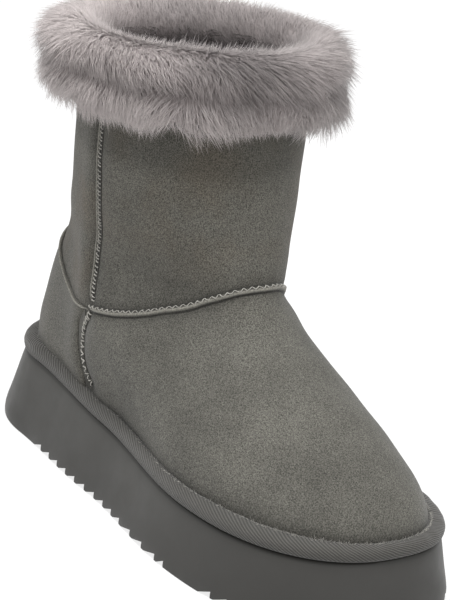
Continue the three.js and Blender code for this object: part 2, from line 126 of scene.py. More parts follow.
SOLE_ROW = dict(
    heel=HEEL_WIDTH / 2, waist_out=0.415 * BALL_WIDTH, waist_in=0.345 * BALL_WIDTH, ball_out=BALL_WIDTH / 2,
    ball_in=BALL_WIDTH / 2, back_span=0.15, front_span=0.3, back_power=2.07, front_power=2.37, apex=4.0,
)

# Lines on the upper: degrees round from the heel's back, and share of the way up the sections.
SIDE_SEAM = [(75, 0.352), (76.4, 0.403), (83.4, 0.553), (86.6, 0.65), (87.6, 0.725), (88.8, 0.885)]
HEEL_SEAM = [(73.2, 0.306), (67.5, 0.232), (65.7, 0.157), (67, 0.11), (69.5, 0.08)]
VAMP_SEAM = [
    (74, 0.324), (81.7, 0.346), (91.1, 0.376), (100.9, 0.409), (111.9, 0.446),
    (127.6, 0.489), (144.6, 0.537), (161.9, 0.573), (180, 0.584),
]
COUNTER_LINE = [
    (0, 0.405), (12, 0.398), (22, 0.381), (32.8, 0.358), (43.6, 0.337), (52.2, 0.315), (60.7, 0.307),
    (72.5, 0.318),
]
# The fur roll's outline: out from the shaft and up from the collar's edge, as shares of reach and height.
CUFF_PROFILE = np.array([
    (0.03, -0.42), (0.3, -0.5), (0.66, -0.48), (0.92, -0.34), (1, -0.14), (0.93, 0.05), (0.62, 0.2),
    (0.15, 0.27), (-0.3, 0.22), (-0.6, 0.05), (-0.72, -0.16), (-0.62, -0.34), (-0.25, -0.4), (-0.12, -0.41),
])
# Where the fur changes, in degrees round the boot and in shares of the outline above.
FULLEST_TURN = 56.0
PARTING, PARTING_WIDTH = 0.335, 0.05
WHORL_TURN, WHORL_SPAN = 160, 26
WHORL_AT, WHORL_HEIGHT = 0.48, 0.15
# The least painted light round the boot on the fur low on the roll.
LOWER_PAINTED_LIGHT = 0.88
# Share of a hair's shading that comes from the roll under it, which keeps the fur soft.
SOFT_SHADE = 0.84
# How deep a hair's root sits in the roll.
ROOT_DEPTH = 1.2
# What turns a spread in millimetres into an angle round the boot and a share of the outline.
SHAFT_RADIUS = 62
ROLL_GIRTH = 118


def lerp(a, b, s):
    return a + (b - a) * s


def smooth(s):
    s = np.clip(s, 0, 1)
    return s * s * (3 - 2 * s)


def bell(x, middle, width):
    """A rounded bump of height 1 at the middle."""
    return np.exp(-(((x - middle) / width) ** 2))


def unit(vectors):
    return vectors / np.linalg.norm(vectors, axis=-1, keepdims=True)


def through(rows, s):
    """A smooth curve through rows of numbers, at shares s of its way."""
    rows = np.asarray(rows, float)
    last = len(rows) - 1
    at = np.clip(np.asarray(s, float), 0, 1) * last
    k = np.minimum(at.astype(int), last - 1)
    u = (at - k)[..., None]
    a, b, c, d = (rows[np.clip(k + i, 0, last)] for i in (-1, 0, 1, 2))
    out, into = (c - a) / 2, (d - b) / 2
    return b + u * out + u**2 * (3 * (c - b) - 2 * out - into) + u**3 * (2 * (b - c) + out + into)


def platform_top(x):
    s = x / SOLE_LENGTH
    wedge = HEEL_THICKNESS - BALL_THICKNESS
    toe = np.clip((s - BALL_AT) / (1 - BALL_AT), 0, 1) ** 2
    return BALL_THICKNESS + wedge * (1 - smooth((s - HEEL_AT) / (BALL_AT - HEEL_AT))) + TOE_SPRING * toe


def tread_rise(x):
    heel = np.clip(1 - (x + HEEL_FLARE) / HEEL_RISE_LENGTH, 0, 1)
    toe = np.clip((x / SOLE_LENGTH - SPRING_AT) / (1 - SPRING_AT), 0, 1)
    return HEEL_RISE * (1 - np.sqrt(1 - heel * heel)) + TOE_SPRING * toe * toe


def half_width(t, row, side):
    waist = np.where(side < 0, row["waist_out"], row["waist_in"])
    ball = np.where(side < 0, row["ball_out"], row["ball_in"])
    rear = lerp(row["heel"], waist, smooth((t - HEEL_END) / HEEL_RUN))
    along = np.where(t < WAIST_AT, rear, lerp(waist, ball, smooth((t - WAIST_AT) / WAIST_RUN)))
    back = np.clip(1 - t / row["back_span"], 0, 1)
    front = np.clip((t - 1 + row["front_span"]) / row["front_span"], 0, 1)
    rounded = (1 - back ** row["back_power"]) ** (1 / row["back_power"])
    rounded = rounded * (1 - front ** row["front_power"]) ** (1 / row["front_power"])
    return side * along * rounded + row["apex"] * np.clip((t - APEX_FROM) / APEX_RUN, 0, 1) ** 2


def side_of(angle):
    return np.where(np.mod(angle, TURN) <= math.pi, -1.0, 1.0)


def sole_flare(x):
    return lerp(HEEL_FLARE, TOE_FLARE, np.clip(x / SOLE_LENGTH, 0, 1))


def sole_edge(angle, away):
    """The platform's top outline, moved out by a distance or by a function of x."""
    def at(a):
        t = (1 - np.cos(a)) / 2
        return np.stack([t * SOLE_LENGTH, half_width(t, SOLE_ROW, side_of(a))], -1)

    along = at(angle + EDGE_STEP) - at(angle - EDGE_STEP)
    normal = unit(np.stack([along[..., 1], -along[..., 0]], -1))
    point = at(angle)
    away = away(point[..., 0]) if callable(away) else away
    return point + normal * np.asarray(away)[..., None]


def upper_point(rise, angle):
    """The plain form's outer face at a share of the way up the sections and an angle from the heel's back."""
    rise, angle = np.broadcast_arrays(np.asarray(rise, float), np.asarray(angle, float))
    values = through(SECTIONS, rise)
    row = {name: values[..., i] for i, name in enumerate(COLUMNS)}
    for name in ("heel", "waist_out", "waist_in", "ball_out", "ball_in", "apex"):
        row[name] = row[name] * BALL_WIDTH
    t = (1 - np.cos(angle)) / 2
    x = lerp(row["back"], row["front"], t) * SOLE_LENGTH
    seat = lerp(HEEL_THICKNESS, platform_top(x), row["follow"])
    z = lerp(row["low"], row["high"], t) * UPPER_HEIGHT + seat + GAP
    return np.stack([x, half_width(t, row, side_of(angle)), z], -1)


def upper_normal(rise, angle, level=0.0):
    """Outward direction on the plain form. A level of 1 keeps it flat."""
    rise = np.asarray(rise, float)
    around = upper_point(rise, angle + TURN_STEP) - upper_point(rise, angle - TURN_STEP)
    above = upper_point(np.minimum(rise + RISE_STEP, 1), angle)
    below = upper_point(np.maximum(rise - RISE_STEP, 0), angle)
    normal = unit(np.cross(around, above - below))
    if np.any(level):
        normal[..., 2] *= 1 - level
        normal = unit(normal)
    return normal


def rise_at(height, angle):
    """How far up the sections the outer face is at a height above the platform."""
    shape = np.broadcast(height, angle).shape
    low, high = np.zeros(shape), np.ones(shape)
    for _ in range(HALVINGS):
        middle = (low + high) / 2
        p = upper_point(middle, angle)
        under = p[..., 2] - platform_top(p[..., 0]) < height
        low, high = np.where(under, middle, low), np.where(under, high, middle)
    return low


def seam_path(line, count, mirror):
    """Rises and angles of evenly spaced stations along a line on the upper, and the line's length."""
    line = np.array(line, float) * (math.pi / 180, 1)
    if mirror:
        line = line * (-1, 1) + (TURN, 0)
    fine = through(line, np.linspace(0, 1, 400))
    points = upper_point(fine[:, 1], fine[:, 0])
    length = np.concatenate([[0], np.cumsum(np.linalg.norm(np.diff(points, axis=0), axis=1))])
    at = np.linspace(0, length[-1], count)
    return np.interp(at, length, fine[:, 1]), np.interp(at, length, fine[:, 0]), length[-1]


def full_vamp_line():
    other = [(360 - a, r) for a, r in reversed(VAMP_SEAM[:-1])]
    return VAMP_SEAM + other


def full_counter_line():
    other = [(-a, r) for a, r in reversed(COUNTER_LINE[1:])]
    return other + COUNTER_LINE


# Soft creases and swellings of the suede.
CREASES = [
    # centre x, y, z, run along x, y, z, half length, half width, height
    (62, -44, 112, 1, 0, 0.25, 26, 5, -0.9),
    (48, -38, 99, 1, -0.4, 0.1, 20, 4.5, -0.7),
    (120, -42, 128, 1, 0.2, -0.2, 30, 7, 0.7),
    (128, -36, 114, 1, 0.5, 0.3, 24, 5, -0.7),
    (74, -46, 150, 0, 0, 1, 30, 8, -0.6),
    (115, -46, 150, 0.2, 0, 1, 32, 10, 0.6),
    (140, -22, 140, 0.1, 0, 1, 26, 9, -0.6),
    (150, -8, 122, 0.5, 0.8, 0, 20, 5, 0.7),
    (33, 0, 112, 0, 1, 0, 24, 5, -0.9),
    (28, 0, 98, 0, 1, 0, 22, 6, 0.6),
    (60, 42, 110, 1, 0, 0.2, 26, 5, -0.9),
    (118, 40, 126, 1, 0, -0.2, 28, 6, -0.7),
    (95, 44, 148, 0, 0, 1, 30, 9, 0.7),
    (176, -20, 90, 0.6, -0.8, 0, 18, 8, 0.6),
    (196, 8, 84, 0.3, 1, 0, 26, 8, -0.6),
    (214, 4, 79, 0.2, 1, 0, 28, 7, 0.5),
    (168, -44, 66, 1, 0, -0.3, 30, 9, 0.7),
    (205, -43, 52, 1, 0.1, -0.1, 34, 8, 0.5),
]


def seam_distance(points):
    """Distance in millimetres to the nearest seam line of the upper."""
    best = np.full(len(points), np.inf)
    chunks = np.array_split(np.arange(len(points)), max(1, len(points) // 4000))
    lines = [(full_vamp_line(), False)]
    lines += [(line, mirror) for line in (SIDE_SEAM, HEEL_SEAM) for mirror in (False, True)]
    for line, mirror in lines:
        rise, angle, _ = seam_path(line, 90, mirror)
        on = upper_point(rise, angle)
        for chunk in chunks:
            gap = np.linalg.norm(points[chunk][:, None] - on[None], axis=2).min(1)
            best[chunk] = np.minimum(best[chunk], gap)
    return best


def suede_relief(points, rise):
    """Height of the suede over the plain form: pulled in at the seams and the tape, with soft creases."""
    seam_pull, seam_swell, tape_swell = 1.0, 0.75, 0.9
    away = seam_distance(points)
    relief = -seam_pull * bell(away, 0, 4) + seam_swell * bell(away, 11, 7.5)
    foot = points[:, 2] - platform_top(points[:, 0])
    low = np.clip(1 - rise / 0.5, 0, 1)
    relief += low * (tape_swell * bell(foot, 17, 8))
    for x, y, z, ax, ay, az, length, width, height in CREASES:
        along = unit(np.array([ax, ay, az], float))
        offset = points - (x, y, z)
        run = offset @ along
        across = np.linalg.norm(offset - run[:, None] * along, axis=1)
        relief += height * np.exp(-((run / length) ** 2) - (across / width) ** 2)
    x, y, z = points.T
    relief += 0.28 * np.sin(x / 13 + y / 17 + 1.1) * np.sin(z / 15 - y / 19 + 0.4)
    relief += 0.14 * np.sin(x / 6.1 - z / 8.3 + 2.0) * np.sin(y / 7.7 + z / 9.1)
    held = np.clip(foot / 9, 0, 1) * np.clip((1 - rise) / 0.03, 0, 1)
    return relief * held


def suede_point(rise, angle, lift):
    """A point at a height over the finished suede."""
    rise, angle = np.broadcast_arrays(np.asarray(rise, float), np.asarray(angle, float))
    base = upper_point(rise, angle)
    relief = suede_relief(base.reshape(-1, 3), rise.ravel()).reshape(rise.shape)
    return base + upper_normal(rise, angle) * (relief + lift)[..., None]


def frame_shift():
    """Moves the boot's own coordinates onto the frame's, by the platform's box."""
    low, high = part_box("outsole")
    edge = sole_edge(np.arange(72) * TURN / 72, sole_flare)
    middle = (edge.min(0) + edge.max(0)) / 2
    return np.array([(low.x + high.x) / 2 - middle[0] * MM, (low.y + high.y) / 2 - middle[1] * MM, 0.0])


SHIFT = frame_shift()


def to_frame(points):
    return np.asarray(points, float) * MM + SHIFT


def deselect_all():
    if bpy.context.object and bpy.context.object.mode != "OBJECT":
        bpy.ops.object.mode_set(mode="OBJECT")
    bpy.ops.object.select_all(action="DESELECT")


def make_active(obj):
    deselect_all()
    obj.select_set(True)
    bpy.context.view_layer.objects.active = obj


def surface(name, us, vs, place, uv_length=None, uv_rows=None, marks=None):
    """A grid primitive laid on place(u, v) in millimetres, with the edges that meet merged.

    uv_length and uv_rows spread its UV map in millimetres, and marks are numbers for each row that the
    materials read.
    """
    us, vs = np.asarray(us, float), np.asarray(vs, float)
    deselect_all()
    bpy.ops.mesh.primitive_grid_add(x_subdivisions=len(us) - 1, y_subdivisions=len(vs) - 1, size=2)
    obj = bpy.context.object
    obj.name = obj.data.name = name
    mesh = obj.data
    start = np.zeros(len(mesh.vertices) * 3)
    mesh.vertices.foreach_get("co", start)
    start = start.reshape(-1, 3)
    i = np.rint((start[:, 0] + 1) / 2 * (len(us) - 1)).astype(int)
    j = np.rint((start[:, 1] + 1) / 2 * (len(vs) - 1)).astype(int)
    mesh.vertices.foreach_set("co", to_frame(place(us[i], vs[j])).ravel())
    if uv_rows is not None:
        layer = mesh.uv_layers.active.data
        uv = np.zeros(len(layer) * 2)
        layer.foreach_get("uv", uv)
        uv = uv.reshape(-1, 2)
        across = np.interp(uv[:, 1], np.linspace(0, 1, len(vs)), uv_rows)
        layer.foreach_set("uv", np.column_stack([uv[:, 0] * uv_length, across]).ravel())
    for mark, values in (marks or {}).items():
        paint(obj, mark, np.asarray(values, float)[j])
    bpy.ops.object.mode_set(mode="EDIT")
    bpy.ops.mesh.select_all(action="SELECT")
    bpy.ops.mesh.remove_doubles(threshold=MERGE_DISTANCE)
    bpy.ops.mesh.normals_make_consistent(inside=False)
    bpy.ops.object.mode_set(mode="OBJECT")
    bpy.ops.object.shade_smooth()
    return obj


def coordinates(obj):
    co = np.zeros(len(obj.data.vertices) * 3)
    obj.data.vertices.foreach_get("co", co)
    return co.reshape(-1, 3)


def own_millimetres(obj):
    return (coordinates(obj) - SHIFT) / MM


def paint(obj, name, values):
    """A number on each vertex that the materials read."""
    attribute = obj.data.attributes.get(name) or obj.data.attributes.new(name, "FLOAT", "POINT")
    attribute.data.foreach_set("value", np.asarray(values, np.float32))


def finish_piece(obj, material, replaces=()):
    """Gives a piece its material, puts it under the frame's root body, and hides the frame's nodes that it
    stands for.
    """
    obj.data.materials.clear()
    obj.data.materials.append(material)
    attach(obj, "root")
    if replaces:
        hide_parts(*replaces)


class Recipe:
    """A node material put together step by step."""

    def __init__(self, name, roughness, sheen=0.0, sheen_roughness=0.5, specular=0.5):
        self.material = bpy.data.materials.new(name)
        self.material.use_nodes = True
        self.tree = self.material.node_tree
        self.shader = self.tree.nodes["Principled BSDF"]
        self.shader.inputs["Roughness"].default_value = roughness
        self.shader.inputs["Sheen Weight"].default_value = sheen
        self.shader.inputs["Sheen Roughness"].default_value = sheen_roughness
        self.shader.inputs["Specular IOR Level"].default_value = specular

    def node(self, kind, inputs=None, **settings):
        node = self.tree.nodes.new(kind)
        for key, value in settings.items():
            setattr(node, key, value)
        for key, value in (inputs or {}).items():
            self.put(node.inputs[key], value)
        return node

    def put(self, socket, value):
        if isinstance(value, bpy.types.NodeSocket):
            self.tree.links.new(value, socket)
        else:
            socket.default_value = value

    def place(self):
        return self.node("ShaderNodeTexCoord").outputs["Object"]

    def number(self, name):
        return self.node("ShaderNodeAttribute", attribute_name=name).outputs["Fac"]

    def noise(self, scale, detail=2.0, roughness=0.5):
        return self.node("ShaderNodeTexNoise", {
            "Vector": self.place(), "Scale": scale, "Detail": detail, "Roughness": roughness,
        }).outputs["Fac"]

    def maths(self, operation, a, b=0.0, c=0.0):
        node = self.node("ShaderNodeMath", operation=operation)
        for socket, value in zip(node.inputs, (a, b, c)):
            self.put(socket, value)
        return node.outputs[0]

    def stretch(self, value, low, high, to_low=0.0, to_high=1.0):
        """The value's range from low to high, spread over another range and held at its ends."""
        return self.node("ShaderNodeMapRange", {
            "Value": value, "From Min": low, "From Max": high, "To Min": to_low, "To Max": to_high,
        }).outputs["Result"]

    def mix(self, share, a, b):
        node = self.node("ShaderNodeMix", data_type="RGBA")
        self.put(node.inputs["Factor"], share)
        for name, colour in (("A", a), ("B", b)):
            self.put(node.inputs[name], colour if isinstance(colour, bpy.types.NodeSocket) else (*colour, 1))
        return node.outputs["Result"]

    def dim(self, colour, share):
        """The colour with its brightness multiplied by a number."""
        node = self.node("ShaderNodeVectorMath", operation="SCALE")
        self.put(node.inputs[0], colour)
        self.put(node.inputs["Scale"], share)
        return node.outputs[0]

    def colour(self, socket):
        self.put(self.shader.inputs["Base Color"], socket)

    def bump(self, height, strength, distance, below=None):
        inputs = {"Height": height, "Strength": strength, "Distance": distance}
        if below is not None:
            inputs["Normal"] = below
        return self.node("ShaderNodeBump", inputs).outputs["Normal"]

    def relief(self, normal):
        self.put(self.shader.inputs["Normal"], normal)


def chosen(settings, name):
    """A colour of the panel as a plain tuple."""
    return tuple(getattr(settings, name))


def times(colour, share):
    return tuple(c * share for c in colour)


def suede_material(settings):
    """Napped suede: speckled fibre, soft blotches, and painted shade by the seams and under the fur."""
    r = Recipe("napped_suede", 0.92, sheen=0.14, sheen_roughness=0.45, specular=0.2)
    base = chosen(settings, "suede")
    warm = tuple(c * k for c, k in zip(base, (1.03, 0.93, 0.84)))
    speck = r.stretch(r.noise(1850, 3, 0.75), 0.36, 0.64)
    blotch = r.stretch(r.noise(24, 4, 0.62), 0.3, 0.7, 0.78, 1.22)
    patches = r.stretch(r.noise(30, 3, 0.5), 0.4, 0.62, 0.15, 1.4)
    green = r.dim(r.mix(speck, times(base, 0.36), times(base, 1.95)), blotch)
    brown = r.mix(speck, times(warm, 0.38), times(warm, 1.85))
    colour = r.mix(r.maths("MULTIPLY", r.number("warmth"), patches), green, brown)
    # The shade number is painted light and shade.
    r.colour(r.dim(colour, r.number("shade")))
    fibre = r.bump(r.noise(1900, 2, 0.7), 0.5, 0.0004)
    r.relief(r.bump(r.noise(520, 3, 0.6), 0.4, 0.0007, fibre))
    return r.material


def fleece_material(settings):
    """Short curled fleece in the colour of the fur's roots."""
    r = Recipe("curled_fleece", 0.95, sheen=0.3, sheen_roughness=0.5, specular=0.2)
    base = chosen(settings, "fur_root")
    curl = r.stretch(r.noise(260, 4, 0.6), 0.35, 0.65)
    r.colour(r.mix(curl, times(base, 0.6), times(base, 1.5)))
    r.relief(r.bump(r.noise(420, 4, 0.7), 0.9, 0.0015))
    return r.material


def fur_material(settings):
    """Each hair runs from a brown-mauve root to a pale tip, differs a little from its neighbours, and carries
    painted light and shade by its place.
    """
    r = Recipe("long_fur", 0.62, sheen=0.25, sheen_roughness=0.4, specular=0.35)
    along = r.stretch(r.number("along"), 0.05, 0.7)
    colour = r.mix(along, chosen(settings, "fur_root"), chosen(settings, "fur_tip"))
    # Its lightness number holds random differences and painted light and shade.
    r.colour(r.dim(colour, r.number("tone")))
    return r.material


def sole_material(settings):
    """Moulded rubber: satin, a little cloudy and dusty, with painted shade darker by the floor and towards
    the toe.
    """
    r = Recipe("moulded_platform", 0.48, specular=0.4)
    base = chosen(settings, "sole")
    cloud = r.stretch(r.noise(26, 4, 0.6), 0.3, 0.7)
    dust = r.stretch(r.noise(900, 2, 0.8), 0.62, 0.8, 0, 0.25)
    colour = r.mix(dust, r.mix(cloud, times(base, 0.92), times(base, 1.08)), times(base, 1.5))
    parts = r.node("ShaderNodeSeparateXYZ", {"Vector": r.place()})
    # Painted shade towards the floor and the toe, with a little painted light at the platform's top.
    colour = r.dim(colour, r.stretch(parts.outputs["Z"], 0.0, 0.03, 0.84, 1.05))
    colour = r.dim(colour, r.stretch(parts.outputs["X"], 0.0, 0.12, 1.0, 0.8))
    r.colour(colour)
    r.put(r.shader.inputs["Roughness"], r.stretch(r.noise(60, 3, 0.6), 0.3, 0.7, 0.42, 0.56))
    grain = r.bump(r.noise(1600, 2, 0.6), 0.12, 0.0002)
    r.relief(r.bump(r.noise(22, 2, 0.5), 0.25, 0.0009, grain))
    return r.material


def tape_material(settings):
    """Twill: slanting ribs with an uneven lie and worn, paler crowns."""
    r = Recipe("twill_tape", 0.85, sheen=0.25, sheen_roughness=0.5, specular=0.25)
    base = chosen(settings, "tape")
    ribs_across, ribs_along, rib_wobble = 5.6, 2.4, 2.2
    uv = r.node("ShaderNodeUVMap", uv_map="UVMap").outputs["UV"]
    parts = r.node("ShaderNodeSeparateXYZ", {"Vector": uv})
    along = r.maths("MULTIPLY", parts.outputs["X"], ribs_along)
    phase = r.maths("MULTIPLY_ADD", parts.outputs["Y"], ribs_across, along)
    wobble = r.maths("MULTIPLY", r.noise(160, 2), rib_wobble)
    rib = r.stretch(r.maths("SINE", r.maths("ADD", phase, wobble)), -1, 1)
    worn = r.stretch(r.noise(1500, 2, 0.7), 0.3, 0.7, 0, 0.35)
    colour = r.mix(worn, r.mix(rib, times(base, 0.55), times(base, 1.6)), times(base, 0.7))
    # The shade number is painted shade at the tape's foot and top edge.
    r.colour(r.dim(colour, r.number("shade")))
    r.relief(r.bump(rib, 0.6, 0.0005, r.bump(r.noise(2200, 2), 0.25, 0.0003)))
    return r.material


def thread_material(settings):
    """Spun thread, a little uneven."""
    r = Recipe("seam_thread", 0.7, sheen=0.2, specular=0.35)
    base = chosen(settings, "thread")
    twist = r.stretch(r.noise(1300, 2), 0.3, 0.7)
    r.colour(r.mix(twist, times(base, 0.75), times(base, 1.2)))
    r.relief(r.bump(r.noise(2600, 2), 0.4, 0.0003))
    return r.material


def edge_material(settings):
    """Raw suede edges: fuzzy, dark with painted shade in and beside the seams' grooves, and pale on the
    ridge.
    """
    r = Recipe("raw_suede_edge", 0.95, sheen=0.2, specular=0.15)
    base = chosen(settings, "suede")
    speck = r.stretch(r.noise(1500, 3, 0.7), 0.35, 0.65)
    # The dark colour is painted shade in the grooves; the ridge number takes the colour from it to the pale
    # ridge.
    dark = r.mix(speck, times(base, 0.2), times(base, 0.6))
    pale = r.mix(speck, times(base, 1.7), times(base, 3.7))
    r.colour(r.mix(r.number("ridge"), dark, pale))
    r.relief(r.bump(r.noise(900, 3, 0.7), 0.7, 0.0006))
    return r.material


class BootColours(bpy.types.PropertyGroup):
    """Colours a user may change."""

    suede: FloatVectorProperty(
        name="Suede", description="Colour of the suede", default=(0.088, 0.085, 0.074),
        subtype="COLOR", size=3, min=0, max=1,
    )
    sole: FloatVectorProperty(
        name="Platform", description="Colour of the platform", default=(0.048, 0.0465, 0.0425),
        subtype="COLOR", size=3, min=0, max=1,
    )
    tape: FloatVectorProperty(
        name="Tape", description="Colour of the woven tape", default=(0.062, 0.0595, 0.054),
        subtype="COLOR", size=3, min=0, max=1,
    )
    thread: FloatVectorProperty(
        name="Thread", description="Colour of the stitches", default=(0.44, 0.425, 0.385),
        subtype="COLOR", size=3, min=0, max=1,
    )
    fur_root: FloatVectorProperty(
        name="Fur roots", description="Colour deep in the fur", default=(0.2, 0.168, 0.165),
        subtype="COLOR", size=3, min=0, max=1,
    )
    fur_tip: FloatVectorProperty(
        name="Fur tips", description="Colour of the fur's tips", default=(0.46, 0.414, 0.405),
        subtype="COLOR", size=3, min=0, max=1,
    )


class BootSizes(bpy.types.PropertyGroup):
    """Sizes and counts a user may change."""

    stitch_pitch: FloatProperty(
        name="Stitch pitch", description="Distance between stitches", default=0.0027, min=0.001, max=0.01,
        unit="LENGTH",
    )
    fur_length: FloatProperty(
        name="Fur length", description="Length of the long hairs", default=0.015, min=0.005, max=0.05,
        unit="LENGTH",
    )
    hairs: IntProperty(
        name="Hairs", description="Hairs in a layer of the cuff whose share is 1", default=13800, min=500,
        max=16500,
    )
    seed: IntProperty(name="Seed", description="Choice of the random layout", default=7, min=0, max=9999)


def loop_angles(n):
    return np.linspace(0, TURN, n + 1)


class BOOT_OT_platform(bpy.types.Operator):
    """Platform sole with its flare, rounded edges and saw-tooth tread"""

    bl_idname = "boot.platform"
    bl_label = "Platform"

    # Rows from the tread's middle, up the side, to the middle of the top.
    ROWS = np.array([
        # share out from the middle, share of the way up, share of the flare, inset
        (0.0, 0.0, 0.9, 0.0), (0.5, 0.0, 0.9, 0.0), (0.97, 0.0, 0.9, 0.0), (1.0, 0.0, 0.94, 0.0),
        (1.0, 0.012, 0.99, 0.0), (1.0, 0.05, 1.0, 0.0), (1.0, 0.12, 0.98, 0.0), (1.0, 0.2, 0.9, 0.0),
        (1.0, 0.4, 0.65, 0.0), (1.0, 0.6, 0.42, 0.0), (1.0, 0.8, 0.2, 0.0), (1.0, 0.93, 0.04, 0.0),
        (1.0, 0.965, 0.0, 0.25), (1.0, 0.99, 0.0, 0.9), (1.0, 1.0, 0.0, 1.8), (0.7, 1.0, 0.0, 1.8),
        (0.0, 1.0, 0.0, 1.8),
    ])

    def execute(self, context):
        def place(u, v):
            inward, rise, out, inset = self.ROWS[np.rint(v).astype(int)].T

            def away(x):
                return out * sole_flare(x) - inset

            edge = sole_edge(u, away)
            middle = (edge + sole_edge(TURN - u, away)) / 2
            xy = lerp(middle, edge, inward[:, None])
            x = xy[:, 0]
            return np.column_stack([xy, lerp(tread_rise(x), platform_top(x), rise)])

        obj = surface("platform", loop_angles(240), np.arange(len(self.ROWS)), place)
        comb = self.tread_comb()
        make_active(obj)
        cut = obj.modifiers.new("tread", "BOOLEAN")
        cut.object, cut.operation, cut.solver = comb, "DIFFERENCE", "EXACT"
        bpy.ops.object.modifier_apply(modifier=cut.name)
        bpy.data.objects.remove(comb)
        bpy.ops.object.shade_smooth_by_angle(angle=math.radians(32))
        finish_piece(obj, sole_material(context.scene.boot_colours), ("outsole",))
        return {"FINISHED"}

    @staticmethod
    def tread_comb():
        """One sloped wedge a tooth, across the whole tread, joined for one cut."""
        heel_teeth, waist_teeth, below_floor, half_span = 10, 3, -4.0, 80
        starts, x = [], FIRST_TOOTH
        for pitch in [SHORT_PITCH] * heel_teeth + [LONG_PITCH] * waist_teeth + [0.8 * SHORT_PITCH]:
            starts.append((x, pitch))
            x += pitch
        x += BALL_LAND
        while x < SOLE_LENGTH - SHORT_PITCH:
            starts.append((x, SHORT_PITCH))
            x += SHORT_PITCH
        deselect_all()
        wedges = []
        for start, pitch in starts:
            bpy.ops.mesh.primitive_cube_add(size=1, location=(0, 0, 0))
            wedge = bpy.context.object
            sign = np.sign(coordinates(wedge))
            x = np.where(sign[:, 0] < 0, start + TOOTH_TIP, start + pitch)
            roof = tread_rise(x) + np.where(sign[:, 0] < 0, 0.0, TOOTH_CUT)
            z = np.where(sign[:, 2] > 0, roof, below_floor)
            corners = to_frame(np.column_stack([x, half_span * sign[:, 1], z]))
            wedge.data.vertices.foreach_set("co", corners.ravel())
            wedges.append(wedge)
        for wedge in wedges:
            wedge.select_set(True)
        bpy.context.view_layer.objects.active = wedges[0]
        bpy.ops.object.join()
        return wedges[0]


def tape_shade(foot):
    """Painted shade on the suede just above the tape, by its height over the platform."""
    return 1 - 0.35 * bell(np.maximum(foot - TAPE_HEIGHT, 0), 0, 3.5)


class BOOT_OT_suede_upper(bpy.types.Operator):
    """Suede upper: one skin with its inside, pulled in at the seams and softly creased"""

    bl_idname = "boot.suede_upper"
    bl_label = "Suede upper"

    def execute(self, context):
        outside = np.concatenate([np.linspace(0, 0.08, 8), np.linspace(0.08, 1, 132)[1:]])
        inside = np.linspace(1, 0, 26)
        rows = np.concatenate([outside, inside, [0.0]])
        lifts = np.concatenate([np.zeros(len(outside)), np.full(len(inside), -WALL), [0.0]])

        def place(u, v):
            k = np.rint(v).astype(int)
            rise, lift = rows[k], lifts[k]
            base = upper_point(rise, u)
            level = ((rise < END_SHARE) | (rise > 1 - END_SHARE)).astype(float)
            height = np.where(lift < 0, lift, suede_relief(base, rise))
            return base + upper_normal(rise, u, level) * height[:, None]

        obj = surface("suede_upper", loop_angles(232), np.arange(len(rows)), place)
        self.paint_suede(obj)
        finish_piece(obj, suede_material(context.scene.boot_colours), ("upper",))
        return {"FINISHED"}

    @staticmethod
    def paint_suede(obj):
        """Painted shade at the seams, above the tape, low by the platform and under the fur, painted light
        higher on the shaft, and browner round the heel and the shaft.
        """
        fur_edge, fur_slope = 157, 0.075
        p = own_millimetres(obj)
        x, y, z = p.T
        away = seam_distance(p)
        foot = z - platform_top(x)
        # Painted shade in and beside the seams, above the tape, low by the platform and under the fur's edge;
        # painted light higher up the shaft.
        shade = 1 - 0.38 * bell(away, 0, 3.2) - 0.1 * bell(away, 0, 9)
        shade *= tape_shade(foot)
        shade *= 1 - 0.1 * bell(foot, 0, 22)
        shade *= 1 + 0.15 * smooth((z - 100) / 40)
        over_fur_edge = z - fur_edge - (x - 90) * fur_slope
        shade *= 1 - 0.28 * smooth((over_fur_edge + 8) / 12)
        paint(obj, "shade", shade)
        back = 0.75 * smooth((88 - x) / 14) * smooth((z - 70) / 30) * smooth((50 - y) / 30)
        paint(obj, "warmth", np.maximum(back, 0.5 * smooth((z - 95) / 40)))


